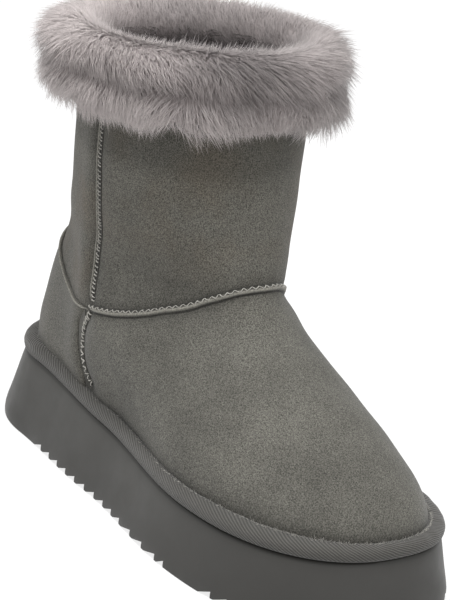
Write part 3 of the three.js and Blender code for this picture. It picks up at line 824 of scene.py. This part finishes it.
class BOOT_OT_stage(bpy.types.Operator):
    """Pale floor, soft studio light and the camera"""

    bl_idname = "boot.stage"
    bl_label = "Stage"

    # Name, place, size and power of each lamp. All of them point at the middle of the boot.
    LAMPS = (
        ("key", (0.35, -0.5, 2.6), 1.1, 74.0),
        ("fill", (1.9, 0.2, 1.3), 1.6, 9.0),
        ("back", (-1.5, -0.9, 1.5), 1.4, 6.0),
    )
    AIM = (0, 0, 0.1)
    FLOOR_GLOW = 0.8
    WORLD_LIGHT = 0.56

    def execute(self, context):
        scene = context.scene
        scene.view_settings.view_transform = "Standard"
        deselect_all()
        bpy.ops.mesh.primitive_circle_add(vertices=96, radius=6, fill_type="NGON", location=(0, 0, 0))
        floor = context.object
        floor.name = "floor"
        r = Recipe("lit_pale_floor", 0.9, specular=0.0)
        r.colour(r.mix(r.stretch(r.noise(3, 2), 0.3, 0.7, 0, 0.3), (0.2, 0.2, 0.2), (0.18, 0.18, 0.18)))
        r.shader.inputs["Emission Color"].default_value = (1, 1, 1, 1)
        r.shader.inputs["Emission Strength"].default_value = self.FLOOR_GLOW
        floor.data.materials.append(r.material)
        world = bpy.data.worlds.new("studio")
        scene.world = world
        world.use_nodes = True
        world.node_tree.nodes["Background"].inputs["Color"].default_value = (1, 1, 1, 1)
        world.node_tree.nodes["Background"].inputs["Strength"].default_value = self.WORLD_LIGHT
        for name, where, size, power in self.LAMPS:
            data = bpy.data.lights.new(name, "AREA")
            data.size = size
            data.energy = power
            lamp = bpy.data.objects.new(name, data)
            scene.collection.objects.link(lamp)
            lamp.location = where
            lamp.rotation_euler = (Vector(self.AIM) - Vector(where)).to_track_quat("-Z", "Y").to_euler()
        self.add_camera(scene)
        return {"FINISHED"}

    @staticmethod
    def add_camera(scene):
        """A long lens at the photograph's viewing angle. The eye is in the boot's own millimetres."""
        data = bpy.data.cameras.new("photo_view")
        data.sensor_width = 36
        data.lens = 148.92
        data.clip_start = 0.05
        data.clip_end = 30
        camera = bpy.data.objects.new("photo_view", data)
        scene.collection.objects.link(camera)
        eye = to_frame([971.73, -614.22, 485.21])
        right = Vector((0.55525, 0.82512, 0.10431))
        up = Vector((-0.34657, 0.11554, 0.93088))
        back = Vector((0.75603, -0.55302, 0.35011))
        turn = Matrix((right, up, back)).transposed().to_4x4()
        camera.matrix_world = Matrix.Translation(Vector(eye)) @ turn
        scene.camera = camera


class BOOT_OT_tape(bpy.types.Operator):
    """Woven tape that rolls over the platform's top edge"""

    bl_idname = "boot.tape"
    bl_label = "Rand tape"

    # The tape's section, from its foot on the platform over the outside and back down along the upper.
    PROFILE = np.array([
        # share in to the upper, share of the tape's height, share of its overhang
        (1.0, 0.0, 0.0), (0.6, 0.0, 0.0), (0.3, 0.0, 0.0), (0.1, 0.04, 0.35), (0.0, 0.14, 0.75),
        (0.0, 0.28, 1.0), (0.0, 0.42, 1.1), (0.03, 0.56, 1.05), (0.1, 0.7, 0.9), (0.22, 0.81, 0.7),
        (0.36, 0.89, 0.5), (0.52, 0.95, 0.3), (0.72, 0.99, 0.1), (0.9, 1.01, 0.0), (1.0, 0.98, 0.0),
        (1.0, 0.5, 0.0), (1.0, 0.0, 0.0),
    ])
    OVERHANG = 1.1
    WEAVE_LENGTH = 690.0

    def execute(self, context):
        colours = context.scene.boot_colours
        rows = self.PROFILE

        def place(u, v):
            inward, up, out = rows[np.rint(v).astype(int)].T
            height = GAP + up * TAPE_HEIGHT
            edge = sole_edge(u, out * self.OVERHANG)
            rise = np.maximum(rise_at(height, u), 1e-6)
            level = (rise < END_SHARE).astype(float)
            foot = upper_point(rise, u) + upper_normal(rise, u, level) * (0.4 * GAP)
            xy = lerp(edge, foot[:, :2], inward[:, None])
            ripple = 0.1 * np.sin(37 * u) + 0.08 * np.sin(61 * u + 1.0)
            return np.column_stack([xy, platform_top(xy[:, 0]) + height + ripple * (up > 0.5)])

        ids = np.arange(len(rows), dtype=float)
        section = place(np.full(len(rows), 1.9), ids)
        steps = np.linalg.norm(np.diff(section, axis=0), axis=1)
        girth = np.concatenate([[0], np.cumsum(steps)])
        obj = surface("twill_tape", loop_angles(300), ids, place, self.WEAVE_LENGTH, girth)
        p = own_millimetres(obj)
        share = (p[:, 2] - platform_top(p[:, 0]) - GAP) / TAPE_HEIGHT
        # Painted shade: darker at the tape's foot on the platform, and a painted shadow along its top edge.
        foot_shade = np.clip(0.45 + 2.2 * share, 0.4, 1)
        top_shade = np.clip(1.25 - 0.3 * np.maximum(share - 0.7, 0) / 0.3, 0.8, 1)
        paint(obj, "shade", foot_shade * top_shade)
        finish_piece(obj, tape_material(colours), ("rand_tape",))
        self.frays(colours)
        return {"FINISHED"}

    @staticmethod
    def frays(colours):
        """Pale fibres that stand out of the tape's upper edge, most of them round the toe."""
        at_toe, elsewhere, width = 1000, 400, 0.07
        count = at_toe + elsewhere
        random = np.random.default_rng(23)
        toe_angle = random.normal(math.pi - 0.3, 0.75, at_toe)
        angle = np.concatenate([toe_angle, random.uniform(0, TURN, elsewhere)])
        rise = rise_at(TAPE_HEIGHT + random.uniform(-0.5, 0.5, count), angle)
        root = suede_point(rise, angle, 0.9)
        out = suede_point(rise, angle, 1.9) - root
        way = unit(out * 0.7 + random.normal(0, 0.6, (count, 3)) + np.array([0, 0, 0.5]))
        side, other = hair_axes(way, random)
        verts, faces = hair_shape()
        x, y, z = (verts[None, :, i:i + 1] for i in range(3))
        reach = random.uniform(0.7, 2.0, count)[:, None, None]
        points = root[:, None] + way[:, None] * (z * reach) + width * (side[:, None] * x + other[:, None] * y)
        finish_piece(copies("tape_frays", points, faces), thread_material(colours))


class BOOT_OT_insole(bpy.types.Operator):
    """Fleece insole and the fleece lining inside the upper"""

    bl_idname = "boot.insole"
    bl_label = "Insole and lining"

    # The insole's rows, from its underside's middle round the edge to its top's middle.
    LEVELS = np.array([
        # share out from the middle, height over the platform
        (0.0, 0.35), (1.0, 0.35), (1.0, 4.5), (0.96, 6.0), (0.75, 6.2), (0.5, 6.2), (0.25, 6.2), (0.0, 6.2),
    ])

    @staticmethod
    def pile(p):
        """The curls of the fleece, from -1 to 1."""
        x, y, z = p.T
        a = np.sin(x / 1.9 + 2 * np.sin(y / 3.1))
        b = np.sin(y / 2.1 + 2 * np.sin(z / 2.7))
        return a * b * np.sin(z / 2.3 + 2 * np.sin(x / 3.3))

    def execute(self, context):
        fleece = fleece_material(context.scene.boot_colours)

        def insole(u, v):
            inward, height = self.LEVELS[np.rint(v).astype(int)].T
            rise = rise_at(np.maximum(height, self.LEVELS[0, 1]), u)
            foot = upper_point(rise, u) - upper_normal(rise, u) * (WALL + 2.4 * GAP)
            p = np.column_stack([foot[:, 0], foot[:, 1] * inward, platform_top(foot[:, 0]) + height])
            p[:, 2] += np.where(height > 5, 0.35 * self.pile(p * (1, 1, 0)), 0)
            return p

        obj = surface("fleece_insole", loop_angles(150), np.arange(len(self.LEVELS)), insole)
        finish_piece(obj, fleece, ("insole",))

        back_rows, front_rows, lowest, highest = 24, 90, 0.06, 0.985
        behind, before = WALL + 0.25, WALL + 2.6
        rises = np.concatenate([
            np.linspace(lowest, highest, back_rows), np.linspace(highest, lowest, front_rows), [lowest],
        ])
        depths = np.array([behind] * back_rows + [before] * front_rows + [behind])

        def lining(u, v):
            k = np.rint(v).astype(int)
            rise, depth = rises[k], depths[k]
            p = upper_point(rise, u)
            curl = np.where(depth > behind, 0.9 * self.pile(p), 0)
            return p - upper_normal(rise, u, 0.5) * (depth + curl)[:, None]

        obj = surface("fleece_lining", loop_angles(200), np.arange(len(rises)), lining)
        finish_piece(obj, fleece)
        return {"FINISHED"}


def strip_point(rise, angle, shift, height):
    """Points over the suede beside a line: shift runs along the face, height stands off it."""
    step = 0.004
    start = upper_point(rise, angle)
    up = (upper_point(rise + step, angle) - start) / step
    around = (upper_point(rise, angle + step) - start) / step
    uu, ur, rr = (up * up).sum(-1), (up * around).sum(-1), (around * around).sum(-1)
    su, sr = (shift * up).sum(-1), (shift * around).sum(-1)
    det = uu * rr - ur * ur
    return suede_point(rise + (su * rr - sr * ur) / det, angle + (sr * uu - su * ur) / det, height)


def seam_frames(line, count, mirror):
    """Stations of a seam with the direction across it, pointing up the boot or to its back."""
    rise, angle, length = seam_path(line, count, mirror)
    centre = upper_point(rise, angle)
    along = unit(np.gradient(centre, axis=0))
    normal = upper_normal(rise, angle)
    return rise, angle, along, normal, unit(np.cross(normal, along)), length


def seam_band(name, line, profile, mirror, count, sign=1.0):
    """A closed band along a line. profile rows are offset across, height and how pale the suede is there,
    where 0 is the painted shade of the grooves.
    """
    rise, angle, _, _, across, _ = seam_frames(line, count, mirror)
    rows = np.array(profile + [profile[0]], float)
    foot = 0.15
    random = np.random.default_rng(5)
    wander = 0.12 * np.convolve(random.standard_normal(count + 4), np.ones(5) / 5, mode="valid")

    def place(u, v):
        i = np.clip(np.rint(u).astype(int) - 1, 0, count - 1)
        k = np.rint(v).astype(int)
        ends = np.where((np.rint(u) == 0) | (np.rint(u) == count + 1), 0.0, 1.0)
        taper = np.where((i < 2) | (i > count - 3), 0.7, 1.0) * ends
        off = rows[k, 0] * taper + wander[i] * ends
        height = foot + (rows[k, 1] - foot) * taper
        return strip_point(rise[i], angle[i], across[i] * (off * sign)[:, None], height)

    return surface(name, np.arange(count + 2), np.arange(len(rows)), place, marks={"ridge": rows[:, 2]})


class BOOT_OT_seams(bpy.types.Operator):
    """Raised seams with their thread loops, and the counter with its stitched line"""

    bl_idname = "boot.seams"
    bl_label = "Seams and counter"

    # Profiles across each seam: offset, height, paleness, where paleness 0 is the painted shade of the
    # grooves. The side seam's raised edge lies on its rear side.
    ROLLED = [
        (-2.1, -0.3, 0), (-1.9, 0.1, 0), (-1.2, 0.05, 0), (-0.85, 0.6, 0.4), (-0.5, 1.25, 0.9), (0.0, 1.5, 1),
        (0.5, 1.25, 0.9), (0.85, 0.6, 0.4), (1.3, 0.3, 0.1), (2.1, 0.15, 0), (2.2, -0.3, 0),
    ]
    OVERLAID = [
        (-3.1, -0.3, 0), (-2.9, 0.3, 0.05), (-2.2, 0.35, 0), (-0.6, 0.3, 0), (0.2, 0.5, 0.2), (0.5, 1.0, 0.9),
        (0.9, 1.05, 0.9), (1.2, 0.5, 0.5), (1.5, 0.15, 0), (1.7, -0.3, 0),
    ]
    OVERSEWN = [
        (-1.7, -0.3, 0), (-1.5, 0.45, 0.05), (-0.8, 0.8, 0.2), (0.0, 0.6, 0), (0.8, 0.8, 0.2),
        (1.5, 0.45, 0.05), (1.7, -0.3, 0),
    ]
    TOPSTITCH = [(-1.15, 0.7, 0.8), (-1.0, 1.55, 1), (-0.7, 1.8, 1), (-0.4, 1.55, 1), (-0.25, 0.7, 0.8)]

    def execute(self, context):
        colours = context.scene.boot_colours
        edge = edge_material(colours)
        thread = thread_material(colours)
        pitch = context.scene.boot_sizes.stitch_pitch / MM
        arch = thread_loop()

        band = seam_band("vamp_seam_roll", full_vamp_line(), self.ROLLED, False, 160)
        finish_piece(band, edge, ("vamp_seam",))
        self.sew(
            "vamp_stitches", arch, full_vamp_line(), False, thread,
            pitch=0.66 * pitch, offset=0.95, reach=1.25, height=0.75, slants=(0.85, -0.85),
        )
        for side, mirror, turned in (("outer", False, 1), ("inner", True, -1)):
            band = seam_band(f"side_seam_edge_{side}", SIDE_SEAM, self.OVERLAID, mirror, 80, turned)
            finish_piece(band, edge, (f"side_seam_{side}",))
            self.sew(
                f"side_stitches_{side}", arch, SIDE_SEAM, mirror, thread,
                pitch=0.72 * pitch, offset=-1.35 * turned, reach=1.7, height=0.35, slants=(0.6, 0.35),
            )
            band = seam_band(f"heel_seam_edge_{side}", HEEL_SEAM, self.OVERSEWN, mirror, 36, -turned)
            finish_piece(band, edge, (f"heel_seam_{side}",))
            self.sew(
                f"heel_stitches_{side}", arch, HEEL_SEAM, mirror, thread,
                pitch=0.62 * pitch, offset=0.0, reach=2.6, height=0.45, slants=(0.8, -0.5),
            )
        self.counter(colours)
        row = seam_band("counter_topstitch", full_counter_line(), self.TOPSTITCH, False, 120)
        finish_piece(row, edge)
        return {"FINISHED"}

    @staticmethod
    def sew(name, arch, line, mirror, material, *, pitch, offset, reach, height, slants):
        """Thread loops across a seam, leaning along it by turns as slants say."""
        length = seam_path(line, 10, mirror)[2]
        count = max(3, int(length / pitch))
        rise, angle, along, normal, across, _ = seam_frames(line, count, mirror)
        base = strip_point(rise, angle, across * offset, np.full(count, height))
        random = np.random.default_rng(11)
        verts, faces = arch
        x, y, z = (verts[None, :, i:i + 1] for i in range(3))
        size = reach * (1 + 0.1 * random.standard_normal(count))
        by_turns = np.where(np.arange(count) % 2, slants[0], slants[1])
        slant = by_turns * (1 + 0.15 * random.standard_normal(count))
        lean = along * (slant * pitch)[:, None]
        shift = along * (0.12 * pitch * random.standard_normal(count))[:, None]
        span = across[:, None] * size[:, None, None] + lean[:, None]
        points = (base + shift)[:, None] + x * span + y * along[:, None] + z * normal[:, None]
        finish_piece(copies(name, points, faces), material)

    @staticmethod
    def counter(colours):
        """The thin layer behind the heel seams, up to its stitched line."""
        rows, lift, thin, behind_seam = 34, 1.25, 0.1, 2.3
        line = np.array(full_counter_line(), float)
        seam = np.array(HEEL_SEAM, float)
        heights = np.concatenate([np.linspace(0, 1, rows), [1.0, 0.0, 0.0]])
        lifts = np.array([lift] * (rows - 1) + [1.0, thin, thin, lift])

        def place(u, v):
            k = np.rint(v).astype(int)
            s = np.clip(u, 0, 1)
            turn = (through(seam, 1 - heights[k])[:, 0] - behind_seam) * (2 * s - 1)
            top = np.interp(turn, line[:, 0], line[:, 1])
            angle = np.radians(turn)
            rise = lerp(rise_at(TAPE_HEIGHT * 0.75, angle), top, heights[k])
            rim = np.minimum(np.minimum(s, 1 - s) * 60, 1)
            ends = np.where((u < 0) | (u > 1), 0.0, 1.0)
            height = lerp(thin, lifts[k], np.clip(rim * 0.6 + 0.4, 0, 1) * ends)
            return suede_point(rise, angle, height)

        us = np.concatenate([[-0.01], np.linspace(0, 1, 110), [1.01]])
        obj = surface("suede_counter", us, np.arange(len(heights)), place)
        p = own_millimetres(obj)
        # Painted shade just above the tape, as on the upper.
        paint(obj, "shade", tape_shade(p[:, 2] - platform_top(p[:, 0])))
        paint(obj, "warmth", np.full(len(p), 0.12))
        finish_piece(obj, suede_material(colours), ("heel_counter",))


def thread_loop():
    """One modelled stitch: an arched thread, as vertices and faces of unit reach."""
    radius, width_share, arch_height = 0.5, 0.4, 0.75
    deselect_all()
    bpy.ops.mesh.primitive_torus_add(
        major_segments=14, minor_segments=5, major_radius=radius, minor_radius=0.3,
    )
    obj = bpy.context.object
    bpy.ops.object.mode_set(mode="EDIT")
    bpy.ops.mesh.select_all(action="SELECT")
    bpy.ops.mesh.bisect(plane_co=(0, 0, 0), plane_no=(0, 1, 0), use_fill=True, clear_inner=True)
    bpy.ops.object.mode_set(mode="OBJECT")
    co = coordinates(obj)
    thick = np.hypot(co[:, 0], co[:, 1]) - radius
    turn = np.arctan2(co[:, 1], co[:, 0])
    across = radius * np.cos(turn) + thick * np.cos(turn) * width_share
    verts = np.column_stack([across, co[:, 2], np.sin(turn) * arch_height + thick * np.sin(turn)])
    faces = [list(p.vertices) for p in obj.data.polygons]
    bpy.data.objects.remove(obj)
    return verts, faces


def copies(name, points, faces):
    """One mesh of many copies of a small shape. points is copies x vertices x 3, in millimetres."""
    count, size = points.shape[:2]
    flat = to_frame(points.reshape(-1, 3))
    sizes = np.array([len(f) for f in faces])
    corners = np.concatenate([np.array(f) for f in faces])
    loops = (corners[None] + (np.arange(count) * size)[:, None]).ravel()
    totals = np.tile(sizes, count)
    starts = np.concatenate([[0], np.cumsum(totals)[:-1]])
    mesh = bpy.data.meshes.new(name)
    mesh.vertices.add(len(flat))
    mesh.vertices.foreach_set("co", flat.ravel())
    mesh.loops.add(len(loops))
    mesh.loops.foreach_set("vertex_index", loops.astype(np.int32))
    mesh.polygons.add(len(totals))
    mesh.polygons.foreach_set("loop_start", starts.astype(np.int32))
    mesh.update(calc_edges=True)
    mesh.validate()
    obj = bpy.data.objects.new(name, mesh)
    bpy.context.scene.collection.objects.link(obj)
    make_active(obj)
    bpy.ops.object.shade_smooth()
    return obj


def cuff_point(angle, out, up):
    """A point of the cuff, out from the shaft's face and up from the collar's edge, in millimetres."""
    rim = upper_point(np.ones_like(angle), angle)
    height = rim[..., 2] - platform_top(rim[..., 0]) + np.minimum(up, 0)
    rise = np.where(up < 0, rise_at(height, angle), 1.0)
    p = upper_point(rise, angle)
    p[..., 2] += np.maximum(up, 0)
    return p + upper_normal(np.ones_like(angle), angle, 1.0) * out[..., None]


def cuff_surface(angle, s):
    """The roll under the hair at a share s of its outline, from the lower outer edge over to the inside."""
    at = through(CUFF_PROFILE, s)
    sink = 0.22 + 0.16 * bell(s, PARTING, PARTING_WIDTH)
    share, up = lerp(at[..., 0], 0.12, sink), lerp(at[..., 1], -0.12, sink) * CUFF_HEIGHT
    lean = np.where(share > 0, CUFF_LEAN * np.cos(angle - math.radians(FULLEST_TURN)), 0)
    lump = 0.6 * np.sin(5 * angle + 9 * s) + 0.5 * np.sin(9 * angle - 14 * s + 1.3)
    out = share * (CUFF_REACH + lean)
    return cuff_point(angle, out + smooth((out + 2) / 8) * lump, up)


class BOOT_OT_cuff(bpy.types.Operator):
    """Fur cuff: a soft roll over the collar, with every layer of hair on it"""

    bl_idname = "boot.cuff"
    bl_label = "Fur cuff"

    def execute(self, context):
        colours, sizes = context.scene.boot_colours, context.scene.boot_sizes
        fur = fur_material(colours)

        def place(u, v):
            # The last row closes the roll on its first.
            closing = v > 1
            p = cuff_surface(u, np.clip(v, 0, 1))
            p[closing] = cuff_surface(u[closing], np.zeros(closing.sum()))
            return p

        along_roll = np.concatenate([np.linspace(0, 1, 46), [1.01]])
        # Painted shade: the roll gets darker inside the cuff, where its colour also stays nearer the roots'.
        marks = {
            "along": np.interp(along_roll, (0.34, 0.5, 0.7, 0.8), (0.25, 0.4, 0.4, 0.1)),
            "tone": np.interp(along_roll, (0.66, 0.8), (0.85, 0.4)),
        }
        roll = surface("fur_roll", loop_angles(180), along_roll, place, marks=marks)
        finish_piece(roll, fur, ("fur_cuff",))
        hair = hair_shape()
        length = sizes.fur_length / MM
        for k, layer in enumerate(FUR_LAYERS):
            count = int(sizes.hairs * layer["share"])
            self.grow(layer, hair, length, count, sizes.seed + k, fur)
        return {"FINISHED"}

    @staticmethod
    def grow(layer, hair, length, count, seed, fur):
        """One layer of hair: every hair stands in a tuft, leans as the tuft does and bends to its tip."""
        random = np.random.default_rng(seed)
        low, high = layer["span"]
        tufts, spread = layer["tufts"], layer["spread"]
        tuft_angle = random.uniform(0, TURN, tufts)
        tuft_s = random.uniform(low, high, tufts)
        own = random.integers(0, tufts, count)
        angle = tuft_angle[own] + random.normal(0, spread / SHAFT_RADIUS, count)
        s = tuft_s[own] + random.normal(0, spread / ROLL_GIRTH, count)
        s = np.clip(s, max(low - 0.03, 0.0), min(high + 0.03, 1.0))
        tuft_turn = random.normal(0, 0.22, tufts) + np.interp(np.degrees(tuft_angle), *layer["lean"].T)
        tuft_tone = 1 + 0.1 * random.standard_normal(tufts)
        tuft_long = 1 + 0.14 * random.standard_normal(tufts)

        root, way, normal = hair_flow(layer, angle, s, tuft_turn[own] + random.normal(0, 0.12, count))
        centre, tuft_way, _ = hair_flow(layer, tuft_angle, tuft_s, tuft_turn)
        size = length * layer["length"] * tuft_long
        if "reach" in layer:
            size = size * np.interp(np.degrees(tuft_angle), *layer["reach"].T)
        own_size = size[own] * (1 + 0.12 * random.standard_normal(count))
        tuft_tip = centre + tuft_way * size[:, None]
        tip = root + way * own_size[:, None]
        gather = layer["gather"] * (0.75 + 0.5 * random.random(count))[:, None]
        bend = (tuft_tip[own] - tip) * gather
        bend[:, 2] -= layer["droop"] * own_size
        bend += random.normal(0, 0.07, (count, 3)) * own_size[:, None]
        side, other = hair_axes(way, random)
        width = layer["width"] * (1 + 0.2 * random.standard_normal(count))[:, None, None]
        verts, faces = hair
        x, y, z = (verts[None, :, i:i + 1] for i in range(3))
        points = (
            root[:, None] - way[:, None] * ROOT_DEPTH
            + way[:, None] * (own_size[:, None, None] * z)
            + bend[:, None] * z**1.8
            + (side[:, None] * x + other[:, None] * y) * width
        )
        obj = copies(f"fur_{layer['name']}", points, faces)
        soften(obj, np.repeat(normal * 0.85 + way * 0.15, len(verts), axis=0))
        # Each tuft and hair differs a little at random, times the painted light and shade of its place.
        tone = tuft_tone[own] * (1 + 0.09 * random.standard_normal(count)) * hair_painted_light(layer, angle, s)
        paint(obj, "tone", np.repeat(np.clip(tone, 0.15, 1.35), len(verts)))
        # The layer's pale number is painted light and shade: above 1 it moves the hair's colour towards its
        # tip, below 1 towards its root.
        paint(obj, "along", np.tile(verts[:, 2], count) * layer.get("pale", 1.0))
        finish_piece(obj, fur)


def hair_flow(layer, angle, s, turn):
    """Roots on the roll, the way the hair goes from them, and the roll's own outward direction."""
    step = 0.012
    around = unit(cuff_surface(angle + TURN_STEP, s) - cuff_surface(angle - TURN_STEP, s))
    above, below = (cuff_surface(angle, np.clip(s + turn_to, 0, 1)) for turn_to in (step, -step))
    over = unit(above - below)
    out = unit(np.cross(around, over))
    lift = np.interp(s, layer["at"], layer["lift"])[:, None]
    down = np.interp(s, layer["at"], layer["down"])[:, None]
    way = unit(out * lift - over * down + around * turn[:, None] * layer["swirl"])
    return cuff_surface(angle, s), way, out


def hair_axes(way, random):
    """Two directions across each hair, turned at random."""
    side = unit(np.cross(way, random.standard_normal(way.shape)))
    return side, np.cross(way, side)


def hair_painted_light(layer, angle, s):
    """Painted light and shade on the hair by its place: round the boot, a painted shadow in the parting, a
    painted highlight over the crest, and painted shade inside the cuff and in the whorl.
    """
    # Where round the boot the painted shadow in the parting is deepest.
    darkest_turn, darkest_span = 165, 40
    crest_at, crest_width = 0.62, 0.07
    inner_from, inner_run = 0.66, 0.14
    turned = np.degrees(angle) % 360
    # Painted light and shade round the boot, held at a least value low on the roll.
    painted_light_round = np.interp(turned, *PAINTED_LIGHT_ROUND.T)
    tone = lerp(np.maximum(painted_light_round, LOWER_PAINTED_LIGHT), painted_light_round, smooth((s - 0.5) / 0.15))
    deepest = 0.45 + 0.55 * bell(turned, darkest_turn, darkest_span)
    # Painted shadow in the parting.
    tone *= 1 - 0.42 * bell(s, PARTING, PARTING_WIDTH) * deepest * layer.get("dark", 0.0)
    # Painted highlight over the crest.
    tone *= 1 + 0.06 * bell(s, crest_at, crest_width)
    # Painted shade inside the cuff.
    tone *= 1 - 0.5 * smooth((s - inner_from) / inner_run)
    # Painted shade in the whorl.
    whorl = ((turned - WHORL_TURN) / WHORL_SPAN) ** 2 + ((s - WHORL_AT) / WHORL_HEIGHT) ** 2
    # The layer's deep number is painted light and shade for the whole layer.
    return tone * (1 - 0.52 * np.exp(-whorl)) * layer.get("deep", 1.0)


def soften(obj, normals):
    """Shades each hair mostly as the roll under it lies."""
    own = np.zeros(len(obj.data.vertices) * 3)
    obj.data.vertices.foreach_get("normal", own)
    mixed = unit(normals * SOFT_SHADE + own.reshape(-1, 3) * (1 - SOFT_SHADE))
    obj.data.normals_split_custom_set_from_vertices(mixed.tolist())


# How far the hair leans along the cuff, by degrees round from the heel's back, above the parting and below.
LEAN_ABOVE = np.array([
    (0, 0.3), (40, 0.3), (62, 0.6), (90, 1.1), (125, 1.0), (142, 0.3), (152, 0.6), (180, 0.9), (215, 0.5),
    (250, 0.1), (300, 0.3), (360, 0.3),
])
LEAN_BELOW = np.array([
    (0, -0.3), (50, -0.7), (80, -0.4), (100, 0.35), (117, 0.1), (126, -0.6), (137, 0.0), (150, 0.65),
    (165, 0.4), (180, -0.3), (200, 0.4), (240, 0.2), (300, -0.2), (360, -0.3),
])
# Painted light and shade on the fur by degrees round the boot.
PAINTED_LIGHT_ROUND = np.array([
    (0, 0.82), (30, 1.05), (56, 1.35), (100, 1.22), (150, 1.04), (185, 0.98), (210, 0.84), (236, 0.7),
    (270, 0.58), (326, 0.54), (360, 0.74),
])
# The length of the fringe by degrees round the boot: full locks on the outer side and short hair in front.
LENGTH_BELOW = np.array([
    (0, 1.0), (60, 1.0), (80, 0.95), (100, 0.9), (112, 0.8), (125, 0.95), (140, 1.12), (152, 1.05),
    (162, 0.5), (180, 0.42), (192, 0.9), (205, 1.1), (240, 0.9), (300, 1.0), (360, 1.0),
])
# Layers of hair. span is where they root on the outline, lift and down say at the places in at how far the
# hair stands off and runs down, length is a share of the long hair, pale, deep and dark are painted light and
# shade (pale moves the colour towards the tip, deep scales the lightness, dark sets the painted shadow in the
# parting), and the rest shapes the tufts.
FUR_LAYERS = [
    dict(
        name="under", share=0.75, span=(0.0, 0.98), at=(0, 0.3, 0.5, 0.74, 0.84, 1),
        lift=(0.4, 0.5, 0.5, 0.6, 0.9, 0.6), down=(0.9, 0.8, 0.8, 0.7, 0.0, -0.7), swirl=0.5, length=0.48,
        tufts=1800, spread=3.2, gather=0.2, droop=0.05, width=0.17, pale=0.8, lean=LEAN_ABOVE, dark=1.0,
    ),
    dict(
        name="fringe", share=1.4, span=(0.0, 0.34), at=(0.0, 0.1, 0.26, 0.34), lift=(0.22, 0.34, 0.42, 0.25),
        down=(1, 0.95, 0.9, 0.95), swirl=1.0, length=0.88, tufts=520, spread=3.6, gather=0.34, droop=0.05,
        width=0.11, pale=1.4, deep=1.1, lean=LEAN_BELOW, reach=LENGTH_BELOW, dark=1.0,
    ),
    dict(
        name="brow", share=1.15, span=(0.37, 0.52), at=(0.37, 0.43, 0.52), lift=(0.5, 0.44, 0.38),
        down=(0.85, 0.9, 0.9), swirl=1.0, length=0.84, tufts=460, spread=3.6, gather=0.26, droop=0.04,
        width=0.11, lean=LEAN_ABOVE,
    ),
    dict(
        name="crest", share=1.4, span=(0.46, 0.75), at=(0.46, 0.55, 0.65, 0.72, 0.76),
        lift=(0.36, 0.36, 0.42, 0.6, 0.8), down=(0.9, 0.9, 0.85, 0.7, 0.45), swirl=0.8, length=0.54,
        tufts=1300, spread=3.2, gather=0.12, droop=0.0, width=0.11, pale=1.15, lean=LEAN_ABOVE,
    ),
    dict(
        name="inside", share=0.95, span=(0.73, 0.98), at=(0.73, 0.79, 0.88, 0.98), lift=(1.0, 0.7, 0.45, 0.4),
        down=(0.1, -0.45, -0.85, -0.9), swirl=0.5, length=0.56, tufts=520, spread=3.6, gather=0.3, droop=0.03,
        width=0.14, pale=0.25, deep=0.62, lean=LEAN_BELOW,
    ),
]


def hair_shape():
    """One modelled hair: a tapered three-sided spike, cut across its middle so that it can bend."""
    deselect_all()
    bpy.ops.mesh.primitive_cone_add(
        vertices=3, radius1=1, radius2=0, depth=1, location=(0, 0, 0.5), end_fill_type="NGON",
    )
    obj = bpy.context.object
    bpy.ops.object.transform_apply(location=True)
    bpy.ops.object.mode_set(mode="EDIT")
    bpy.ops.mesh.select_all(action="SELECT")
    bpy.ops.mesh.bisect(plane_co=(0, 0, 0.5), plane_no=(0, 0, 1))
    bpy.ops.object.mode_set(mode="OBJECT")
    verts = coordinates(obj)
    fullness = np.interp(verts[:, 2], (0, 0.5, 1), (0.9, 0.85, 0.0))
    radius = np.hypot(verts[:, 0], verts[:, 1])
    verts[:, :2] *= np.where(radius > 1e-6, fullness / np.maximum(radius, 1e-6), 0)[:, None]
    faces = [list(p.vertices) for p in obj.data.polygons]
    bpy.data.objects.remove(obj)
    return verts, faces


class BOOT_PT_panel(bpy.types.Panel):
    """The boot's tools"""

    bl_label = "Sheepskin Boot"
    bl_idname = "BOOT_PT_panel"
    bl_space_type = "VIEW_3D"
    bl_region_type = "UI"
    bl_category = "Boot"

    def draw(self, context):
        for group in (context.scene.boot_colours, context.scene.boot_sizes):
            for name in group.__annotations__:
                self.layout.prop(group, name)
        for operator in OPERATORS:
            self.layout.operator(operator.bl_idname)


OPERATORS = (
    BOOT_OT_platform, BOOT_OT_suede_upper, BOOT_OT_tape, BOOT_OT_insole, BOOT_OT_seams, BOOT_OT_cuff,
    BOOT_OT_stage,
)
CLASSES = (BootColours, BootSizes, *OPERATORS, BOOT_PT_panel)


def register():
    for cls in CLASSES:
        bpy.utils.register_class(cls)
    bpy.types.Scene.boot_colours = PointerProperty(type=BootColours)
    bpy.types.Scene.boot_sizes = PointerProperty(type=BootSizes)


def unregister():
    del bpy.types.Scene.boot_sizes
    del bpy.types.Scene.boot_colours
    for cls in reversed(CLASSES):
        bpy.utils.unregister_class(cls)


def main():
    register()
    bpy.ops.boot.stage()
    bpy.ops.boot.platform()
    bpy.ops.boot.suede_upper()
    bpy.ops.boot.tape()
    bpy.ops.boot.insole()
    bpy.ops.boot.seams()
    bpy.ops.boot.cuff()


if __name__ == "__main__":
    main()
